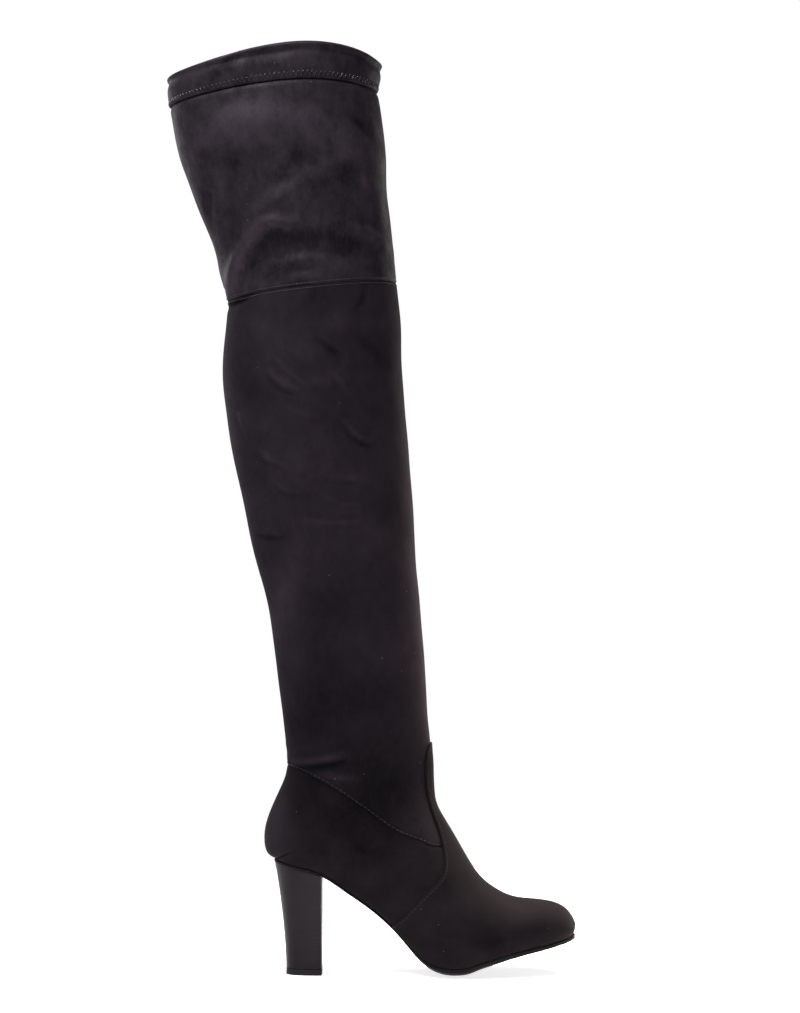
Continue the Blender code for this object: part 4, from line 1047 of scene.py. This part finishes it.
def make_sole(name, margins, low_of, high_of, corner, finish, node, ends=(0.0, 0.0)):
    """A layer lofted along the foot: each station carries the rounded half profile out to either side."""
    share, grow, raised, bottom = sole_profile(corner)
    seat_margin, fore_margin = margins
    along = (1 - np.cos(np.linspace(0, math.pi, SOLE_ROWS))) / 2
    back = float(foot_x(FEATHER_BACK)) - seat_margin - grow + ends[0]
    tip = float(foot_x(FEATHER_TIP)) + fore_margin + grow - ends[1]
    x = tip + (back - tip) * along[:, None]
    margin = seat_margin + (fore_margin - seat_margin) * fore_share(x) + grow
    loops = []
    for side in (-1, 1):
        y = swing(x) + side * share * outline(x, side, margin)
        low, high = low_of(x, y), high_of(x, y)
        z = np.where(bottom, low + raised, high - raised)
        loops.append(np.stack([x + 0 * y, y, z], axis=-1))
    loop = np.concatenate([loops[0][:, ::-1], loops[1]], axis=1)
    lofted_block(name, loop, finish, node, smooth_angle=50)


def heel_outline(share):
    """x of the breast, x of the back, half width and roundness of the heel at a share of its height."""
    flare = share**1.85
    base_half = HEEL_BASE_LENGTH / 2
    breast = base_half + (HEEL_BREAST - base_half) * share
    seat_back = float(foot_x(FEATHER_BACK)) - SEAT_MARGIN + HEEL_SEAT_INSET
    back = -base_half + (seat_back + base_half) * flare
    seat_half = float(outline(np.array(HEEL_BREAST), -1, SEAT_MARGIN)) - HEEL_SEAT_INSET
    half = HEEL_BASE_WIDTH / 2 + (seat_half - HEEL_BASE_WIDTH / 2) * flare
    return breast, back, half, 2.7 - 0.6 * flare


def make_heel_block(name, shares, floor, ceiling, line_depth, finish, node):
    """A block with a flat breast and a rounded back, with fine lines round it where line_depth isn't 0.

    Each level is a closed loop: the breast's edge with small rounded corners, then half a superellipse.
    """
    angle = np.linspace(0, math.pi / 2, 40)[None]
    share = shares[:, None]
    breast, back, half, power = heel_outline(share)
    front = breast - HEEL_CORNER
    bend = np.linspace(0, math.pi / 2, 6)[:-1]
    lines = line_depth * (np.abs(np.sin(share * SEAT_HEIGHT / LAYER * math.pi)) ** 0.5 - 1)
    x = front - (front - back + lines) * np.sin(angle) ** (2 / power)
    y = (half + lines) * np.cos(angle) ** (2 / power)
    corner_x = front + HEEL_CORNER * np.cos(bend)
    corner_y = half - HEEL_CORNER + HEEL_CORNER * np.sin(bend)
    x = np.concatenate([corner_x + 0 * share, x], axis=1)
    y = np.concatenate([corner_y + 0 * share, y], axis=1)
    y[:, -1] = 0
    lift = (share - share[0]) / (share[-1] - share[0])
    z = floor + (ceiling(x) - floor) * lift
    loop = np.stack([np.concatenate([x, x[:, ::-1]], axis=1), np.concatenate([-y, y[:, ::-1]], axis=1),
                     np.concatenate([z, z[:, ::-1]], axis=1)], axis=-1)
    lofted_block(name, loop, finish, node, smooth_angle=35)


def thread_bow(length, height, radius):
    """One stitch: a six-sided thread bowed up from the cloth, its ends sunk, along X and up Z."""
    along = np.linspace(-1, 1, 6)
    around = np.arange(6) / 6 * 2 * math.pi
    a, b = np.meshgrid(along, around, indexing="ij")
    x = a * length / 2
    y = radius * np.cos(b)
    z = height * (1 - a**2) - radius * 0.7 + radius * np.sin(b) * (1 - 0.25 * a**2)
    index = np.arange(36).reshape(6, 6)
    wrap = np.roll(index, -1, axis=1)
    quads = np.stack([index[:-1], wrap[:-1], wrap[1:], index[1:]], axis=-1).reshape(-1, 4).tolist()
    return np.stack([x, y, z], axis=-1).reshape(-1, 3), quads + [list(range(5, -1, -1)), list(range(30, 36))]


def sew(name, lines, finish, length, height=0.0002, radius=THREAD, slant=0.0):
    """Stitches along lines of points and normals, a pitch apart.

    Each line gives points, outward normals and a pitch. A stitch is turned by slant about the normal, one
    way and the other in turn.
    """
    shape, quads = thread_bow(length, height, radius)
    points, faces, used = [], [], 0
    for path, normals, pitch in lines:
        travelled = np.concatenate([[0], np.cumsum(np.linalg.norm(np.diff(path, axis=0), axis=1))])
        at = np.arange(pitch / 2, travelled[-1], pitch)
        spot = np.stack([np.interp(at, travelled, path[:, k]) for k in range(3)], axis=-1)
        up = np.stack([np.interp(at, travelled, normals[:, k]) for k in range(3)], axis=-1)
        ahead = np.stack([np.interp(at + 1e-4, travelled, path[:, k]) for k in range(3)], axis=-1) - spot
        up /= np.linalg.norm(up, axis=1, keepdims=True)
        ahead -= up * np.sum(ahead * up, axis=1, keepdims=True)
        ahead /= np.maximum(np.linalg.norm(ahead, axis=1, keepdims=True), 1e-12)
        beside = np.cross(up, ahead)
        turn = slant * np.where(np.arange(len(at)) % 2, 1, -1)[:, None]
        way_x = ahead * np.cos(turn) + beside * np.sin(turn)
        way_y = np.cross(up, way_x)
        placed = (spot[:, None] + shape[None, :, :1] * way_x[:, None] + shape[None, :, 1:2] * way_y[:, None]
                  + shape[None, :, 2:] * up[:, None])
        points.append(placed.reshape(-1, 3))
        for k in range(len(at)):
            faces += [[used + k * len(shape) + v for v in f] for f in quads]
        used += len(at) * len(shape)
    return add_piece(name, np.concatenate(points), faces, finish, merge=False, smooth_angle=0)


def make_stitches(thread, knee_thread, hem_thread):
    """The stitches of the counter seam as far as the vamp, the knee seam, the hem and the vamp's edge."""
    side = side_line(VAMP_EDGE)
    lines = []
    s, turn = CounterSeam(SEAM_INSET).run(SEAM_POINTS)
    base = BOOT.point(s, turn)
    shown = base[:, 0] < np.interp(base[:, 2], side[:, 1], side[:, 0]) - 0.0012
    for way in (-1, 1):
        lines.append((*cloth_line(BOOT, s[shown], way * turn[shown]), SEAM_PITCH))
    sew("counter_stitches", lines, thread, length=0.0023, height=0.0001, radius=0.00022)

    turn = np.linspace(-1, 1, 1200)
    lines = []
    for form, s, off in ((BOOT, KNEE, -KNEE_INSET), (THIGH, 0.0, KNEE_INSET)):
        rate = pace(form, s + math.copysign(2 * EPSILON, off), np.clip(turn, -0.99, 0.99), True)
        lines.append((*cloth_line(form, s + off / rate, turn), SEAM_PITCH * 0.8))
    sew("knee_stitches", lines, knee_thread, length=0.0022)

    path = cloth_line(THIGH, np.full(turn.shape, HEM_STITCH + 0.0003 / HEM_PACE), turn, BAND_BULGE * 0.8)
    sew("hem_stitches", [(*path, HEM_PITCH)], hem_thread, length=HEM_HEIGHT, height=0.0002,
        radius=0.00022, slant=math.radians(HEM_SLANT))

    s, turn = VampEdge(VAMP_INSET).run(SEAM_POINTS)
    lines = [(*cloth_line(BOOT, s, way * turn, GAP + VAMP_LEATHER), SEAM_PITCH * 0.85) for way in (-1, 1)]
    sew("vamp_stitches", lines, thread, length=0.0022, height=0.0001, radius=0.0002)


class Value:
    """A socket of a material, so that maths on it is written as a plain expression."""

    def __init__(self, shop, socket):
        self.shop, self.socket = shop, socket

    def maths(self, operation, *others):
        return self.shop.node("ShaderNodeMath", {"operation": operation}, dict(enumerate((self, *others))))

    def __add__(self, other):
        return self.maths("ADD", other)

    def __mul__(self, other):
        return self.maths("MULTIPLY", other)

    def __sub__(self, other):
        return self.maths("SUBTRACT", other)

    def __rsub__(self, other):
        return self.shop.node("ShaderNodeMath", {"operation": "SUBTRACT"}, {0: other, 1: self})

    __radd__ = __add__
    __rmul__ = __mul__

    def clamped(self, low, high):
        """0 at low and 1 at high, straight between them and held outside them."""
        return self.shop.node("ShaderNodeMapRange", {"clamp": True},
                              {"Value": self, "From Min": low, "From Max": high})


class Finish:
    """A material with one Principled shader, and one method that adds any other node."""

    def __init__(self, name, **settings):
        self.material = bpy.data.materials.new(name)
        self.material.use_nodes = True
        self.tree = self.material.node_tree
        self.shader = self.tree.nodes["Principled BSDF"]
        for socket, value in settings.items():
            self.shader.inputs[socket.replace("_", " ")].default_value = value
        place = self.tree.nodes.new("ShaderNodeTexCoord")
        self.place = Value(self, place.outputs["Object"])

    def node(self, kind, settings, inputs, output=0):
        made = self.tree.nodes.new(kind)
        for key, value in settings.items():
            setattr(made, key, value)
        for key, value in inputs.items():
            self.put(made.inputs[key], value)
        return Value(self, made.outputs[output])

    def put(self, socket, value):
        if isinstance(value, Value):
            self.tree.links.new(value.socket, socket)
        else:
            socket.default_value = value

    def painted_light_and_nap(self):
        """How much lighter or darker the cloth is painted here, for brushed nap and painted highlights and
        shade, from the mesh.
        """
        return self.node("ShaderNodeAttribute", {"attribute_name": "nap"}, {}, "Fac")

    def noise(self, scale, detail=2.0, rough=0.5, stretch=(1, 1, 1)):
        """Noise over the object's own coordinates, multiplied by stretch along each axis."""
        where = self.node("ShaderNodeVectorMath", {"operation": "MULTIPLY"}, {0: self.place, 1: stretch})
        return self.node("ShaderNodeTexNoise", {}, {"Vector": where, "Scale": scale, "Detail": detail,
                                                    "Roughness": rough})

    def mix(self, share, first, second):
        return self.node("ShaderNodeMix", {"data_type": "RGBA"}, {0: share, 6: first, 7: second}, 2)

    def bump(self, height, distance, strength=1.0, below=None):
        inputs = {"Height": height, "Distance": distance, "Strength": strength}
        if below is not None:
            inputs["Normal"] = below
        return self.node("ShaderNodeBump", {}, inputs)

    def feed(self, **links):
        for socket, value in links.items():
            self.put(self.shader.inputs[socket.replace("_", " ")], value)
        return self.material


def rgb(red, green, blue):
    return (red, green, blue, 1.0)


def lint(f, amount):
    """Share of lint: a few specks under half a millimetre across."""
    cells = f.node("ShaderNodeTexVoronoi", {"feature": "F1"},
                   {"Vector": f.place, "Scale": 95.0, "Randomness": 1.0})
    thin_out = f.noise(47, 1, 0.5).clamped(0.46, 0.52)
    return (1 - cells.clamped(0.022, 0.034)) * thin_out * amount


def suede_finish():
    """Suede look cloth: a short matt nap in small brushed patches, with painted highlights and painted shade
    from the mesh, and a few specks of lint.
    """
    f = Finish("black suede", Sheen_Weight=0.028, Sheen_Roughness=0.4, Sheen_Tint=rgb(1.0, 0.88, 0.84),
               Specular_IOR_Level=0.03)
    patches = f.noise(42, 4, 0.6)
    nap = f.noise(1150, 3, 0.7, (1, 1, 0.5))
    # painted light: the mesh's painted highlights and painted shade, with the brushed nap, lighten or darken
    # the base colour
    level = f.painted_light_and_nap() + (patches - 0.5) * 2.2
    shade = f.mix(level.clamped(-1.1, 1.7), rgb(0.0014, 0.0012, 0.0018), rgb(0.0162, 0.0134, 0.0168))
    shade = f.mix(nap.clamped(0.4, 0.75) * 0.35, shade, rgb(0.0098, 0.0080, 0.0102))
    colour = f.mix(lint(f, 0.6), shade, rgb(0.11, 0.10, 0.10))
    return f.feed(Base_Color=colour, Roughness=0.8 + 0.16 * patches, Normal=f.bump(nap, 0.0002, 0.8))


def stretch_finish(name, satin):
    """Stretch cloth with a velvety nap: brushed blotches, short upright streaks and a satin sheen, over
    painted highlights and painted shade from the mesh.

    satin is 1 for the slack cloth of the thigh, which shines most where its nap lies flat, and 0 for the
    matt calf.
    """
    f = Finish(name, Sheen_Weight=0.02 + 0.025 * satin, Sheen_Roughness=0.35, Sheen_Tint=rgb(0.95, 0.72, 1.0),
               Specular_IOR_Level=0.05 + 0.09 * satin, Specular_Tint=rgb(1.0, 0.88, 1.0))
    blotches = f.noise(26, 5, 0.66, (1, 1, 0.9))
    patches = f.noise(90, 6, 0.72, (1, 1, 0.75))
    streaks = f.noise(520, 3, 0.65, (1, 1, 0.3))
    nap = f.noise(1350, 2, 0.6, (1, 1, 0.6))
    mottling = (blotches * 0.35 + patches * 0.65 - 0.5) * (2.2 + 5.4 * satin)
    # painted light: the mesh's painted highlights, rim light and fold shade, with the brushed nap, lighten or
    # darken the base colour
    level = f.painted_light_and_nap() * (0.5 + patches) + mottling
    shade = f.mix(level.clamped(-1.1, 1.7), rgb(0.0011, 0.0012, 0.0018), rgb(0.0290, 0.0218, 0.0298))
    shade = f.mix(streaks.clamped(0.45, 0.75) * (0.1 + 0.16 * satin), shade, rgb(0.0220, 0.0168, 0.0228))
    colour = f.mix(lint(f, 0.7), shade, rgb(0.16, 0.15, 0.15))
    grain = f.bump(streaks * (0.3 + 0.3 * satin) + nap * 0.5, 0.00022, 0.8, f.bump(patches, 0.0014, 0.35))
    roughness = (0.7 - 0.1 * satin) - (0.04 + 0.05 * satin) * level
    return f.feed(Base_Color=colour, Roughness=roughness, Normal=grain)


def thread_finish(name, shine_and_painted_glint):
    """Polyester thread, a little shinier than the cloth; shinier thread is also painted lighter, a painted
    glint.
    """
    f = Finish(name, Roughness=0.34 - 0.1 * shine_and_painted_glint, Specular_IOR_Level=0.15 + 0.65 * shine_and_painted_glint)
    # painted glint: the shinier the thread, the lighter its flecks are painted
    twist = f.noise(2600, 1, 0.5) * (0.25 + 0.75 * shine_and_painted_glint)
    return f.feed(Base_Color=f.mix(twist, rgb(0.003, 0.0024, 0.003), rgb(0.050, 0.044, 0.052)))


def lining_finish():
    """Lining cloth over the padded insole."""
    f = Finish("black lining", Sheen_Weight=0.2)
    weave = f.noise(1500, 2, 0.6)
    colour = f.mix(weave, rgb(0.016, 0.015, 0.017), rgb(0.034, 0.031, 0.034))
    return f.feed(Base_Color=colour, Roughness=0.8 + 0.1 * weave, Normal=f.bump(weave, 0.0002, 0.6))


def sole_finish():
    """Matt moulded sole with fine cross lines under the tread."""
    f = Finish("black sole", Specular_IOR_Level=0.07)
    scuffs = f.noise(120, 4, 0.65)
    lines = f.node("ShaderNodeTexWave", {"wave_type": "BANDS", "bands_direction": "X"},
                   {"Vector": f.place, "Scale": 105.0, "Distortion": 0.0})
    colour = f.mix(scuffs, rgb(0.0020, 0.0017, 0.0021), rgb(0.0062, 0.0056, 0.0064))
    return f.feed(Base_Color=colour, Roughness=0.5 + 0.25 * scuffs, Normal=f.bump(lines, 0.0002, 0.35))


def heel_finish():
    """Hard lacquered block that shows the edges of its stacked layers as fine level lines."""
    f = Finish("black stacked heel", Coat_Weight=0.03, Coat_Roughness=0.25, Specular_IOR_Level=0.12,
               Specular_Tint=rgb(1.0, 0.9, 1.0))
    layers = f.noise(1300, 2, 0.5, (0.03, 0.03, 1))
    cloud = f.noise(45, 2, 0.5)
    colour = f.mix(layers.clamped(0.3, 0.7) * 0.5 + cloud * 0.3, rgb(0.0034, 0.0028, 0.0041),
                   rgb(0.0086, 0.0072, 0.0098))
    return f.feed(Base_Color=colour, Roughness=0.36 + 0.12 * cloud + 0.05 * layers,
                  Normal=f.bump(layers, 0.00006, 0.5))


def top_piece_finish():
    """Worn rubber under the heel."""
    f = Finish("black top piece", Specular_IOR_Level=0.12)
    scuffs = f.noise(260, 3, 0.6)
    colour = f.mix(scuffs, rgb(0.0050, 0.0046, 0.0052), rgb(0.0130, 0.0120, 0.0135))
    return f.feed(Base_Color=colour, Roughness=0.5 + 0.2 * scuffs, Normal=f.bump(scuffs, 0.0001, 0.4))


def paper_finish():
    """White paper, lit from below as well, so that shadows on it stay pale."""
    f = Finish("pale floor", Roughness=0.9, Emission_Color=rgb(1, 1, 1), Emission_Strength=FLOOR_GLOW,
               Specular_IOR_Level=0.1)
    return f.feed(Base_Color=f.mix(f.noise(3, 1, 0.5), rgb(0.93, 0.93, 0.93), rgb(0.95, 0.95, 0.95)))


def add_floor():
    """A sheet of paper that is small enough to throw little light back up."""
    mesh = bpy.data.meshes.new("studio_floor")
    mesh.from_pydata([(-0.7, -0.8, 0), (0.85, -0.8, 0), (0.85, 0.8, 0), (-0.7, 0.8, 0)], [], [(0, 1, 2, 3)])
    floor = bpy.data.objects.new("studio_floor", mesh)
    floor.data.materials.append(paper_finish())
    bpy.context.scene.collection.objects.link(floor)


def aim(obj, target):
    """Turn a camera or a light so that it looks from where it is at target."""
    way = Vector(target) - obj.location
    obj.rotation_mode = "QUATERNION"
    obj.rotation_quaternion = way.to_track_quat("-Z", "Y")


def add_lamp(name, kind, place, target, power, colour=(1, 1, 1), **settings):
    """A lamp of the kind SUN or AREA at a place, aimed at a target."""
    data = bpy.data.lights.new(name, kind)
    data.energy = power
    data.color = colour
    for key, value in settings.items():
        setattr(data, key, value)
    lamp = bpy.data.objects.new(name, data)
    lamp.location = place
    bpy.context.scene.collection.objects.link(lamp)
    aim(lamp, target)


def add_softbox(name, place, target, size, power, colour=(1, 1, 1), spread=180):
    add_lamp(name, "AREA", place, target, power, colour, shape="RECTANGLE", size=size[0], size_y=size[1],
             spread=math.radians(spread))


def add_studio():
    """A white surround that gives only a little light, a wide light overhead, and five softboxes."""
    world = bpy.data.worlds.new("studio")
    world.use_nodes = True
    nodes, links = world.node_tree.nodes, world.node_tree.links
    background = nodes["Background"]
    background.inputs["Color"].default_value = (1, 1, 1, 1)
    seen = nodes.new("ShaderNodeMapRange")
    seen.inputs["To Min"].default_value = SURROUND_LIGHT
    seen.inputs["To Max"].default_value = 1.0
    links.new(nodes.new("ShaderNodeLightPath").outputs["Is Camera Ray"], seen.inputs["Value"])
    links.new(seen.outputs["Result"], background.inputs["Strength"])
    bpy.context.scene.world = world
    add_lamp("overhead", "SUN", (0.1, -0.3, 2.0), (0, 0, 0), 0.75, angle=math.radians(80))
    add_softbox("key_softbox", (-0.55, -0.75, 1.65), (-0.03, 0, 0.54), (0.4, 0.4), 33, (1.0, 0.98, 1.0))
    add_softbox("front_softbox", (0.8, -1.9, 0.9), (0.07, 0, 0.3), (1.0, 1.2), 2)
    add_softbox("left_rim_softbox", (-0.95, 1.15, 0.8), (0, 0, 0.25), (0.4, 0.6), 2.8, (0.96, 1.0, 0.96))
    add_softbox("right_rim_softbox", (1.05, 1.15, 0.35), (0.05, 0, 0.3), (0.4, 1.0), 6.5, (1.0, 0.98, 0.94))
    add_softbox("toe_softbox", (0.36, 0.12, 0.6), (0.16, 0, 0.05), (0.25, 0.25), 1.7, (1.0, 0.84, 0.68),
                spread=60)


def add_camera():
    """The photographer's place: level with the ankle, square to the outer side, two metres off."""
    data = bpy.data.cameras.new("camera")
    data.sensor_width = 36.0
    data.lens = CAMERA_LENS
    data.dof.use_dof = False
    camera = bpy.data.objects.new("camera", data)
    camera.location = CAMERA_PLACE
    bpy.context.scene.collection.objects.link(camera)
    bpy.context.scene.camera = camera
    aim(camera, CAMERA_TARGET)


def main():
    """The studio, and then each piece from the foot up."""
    add_studio()
    add_floor()
    add_camera()
    bpy.context.scene.view_settings.view_transform = "Standard"
    suede = suede_finish()
    thread = thread_finish("black thread", 0.0)
    calf_cloth = stretch_finish("black stretch suede", 0.0)
    thigh_cloth = stretch_finish("black satin suede", 1.0)
    seam = CounterSeam()
    make_foot(seam, suede)
    make_calf_panel(seam, calf_cloth)
    make_vamp(VampEdge(), suede)
    make_thigh_panel(thigh_cloth)
    make_band(thigh_cloth)
    make_stitches(thread, thread_finish("black seam thread", 0.4), thread_finish("black hem thread", 0.7))
    make_sole("sole", (SEAT_MARGIN, SOLE_MARGIN), lambda x, y: np.maximum(crowned(x, y), 0), sole_top,
              SOLE_CORNER, sole_finish(), "outsole")
    make_sole("padded_insole", (-INSOLE_INSET, -INSOLE_INSET), lambda x, y: sole_top(x, y) + GAP,
              lambda x, y: sole_top(x, y) + GAP + INSOLE, INSOLE_CORNER, lining_finish(),
              "insole", ends=(0.0, INSOLE_TIP_INSET))
    make_heel_block("top_piece_block", np.linspace(0, TOP_PIECE / SEAT_HEIGHT, 8), 0.0,
                    lambda x: TOP_PIECE + 0 * x, 0.0, top_piece_finish(), "top_piece")
    floor = TOP_PIECE + GAP
    make_heel_block("heel_block", np.linspace(floor / SEAT_HEIGHT, 1, HEEL_LEVELS), floor,
                    lambda x: sole_middle(x) - GAP, LINE_DEPTH, heel_finish(), "heel")


main()
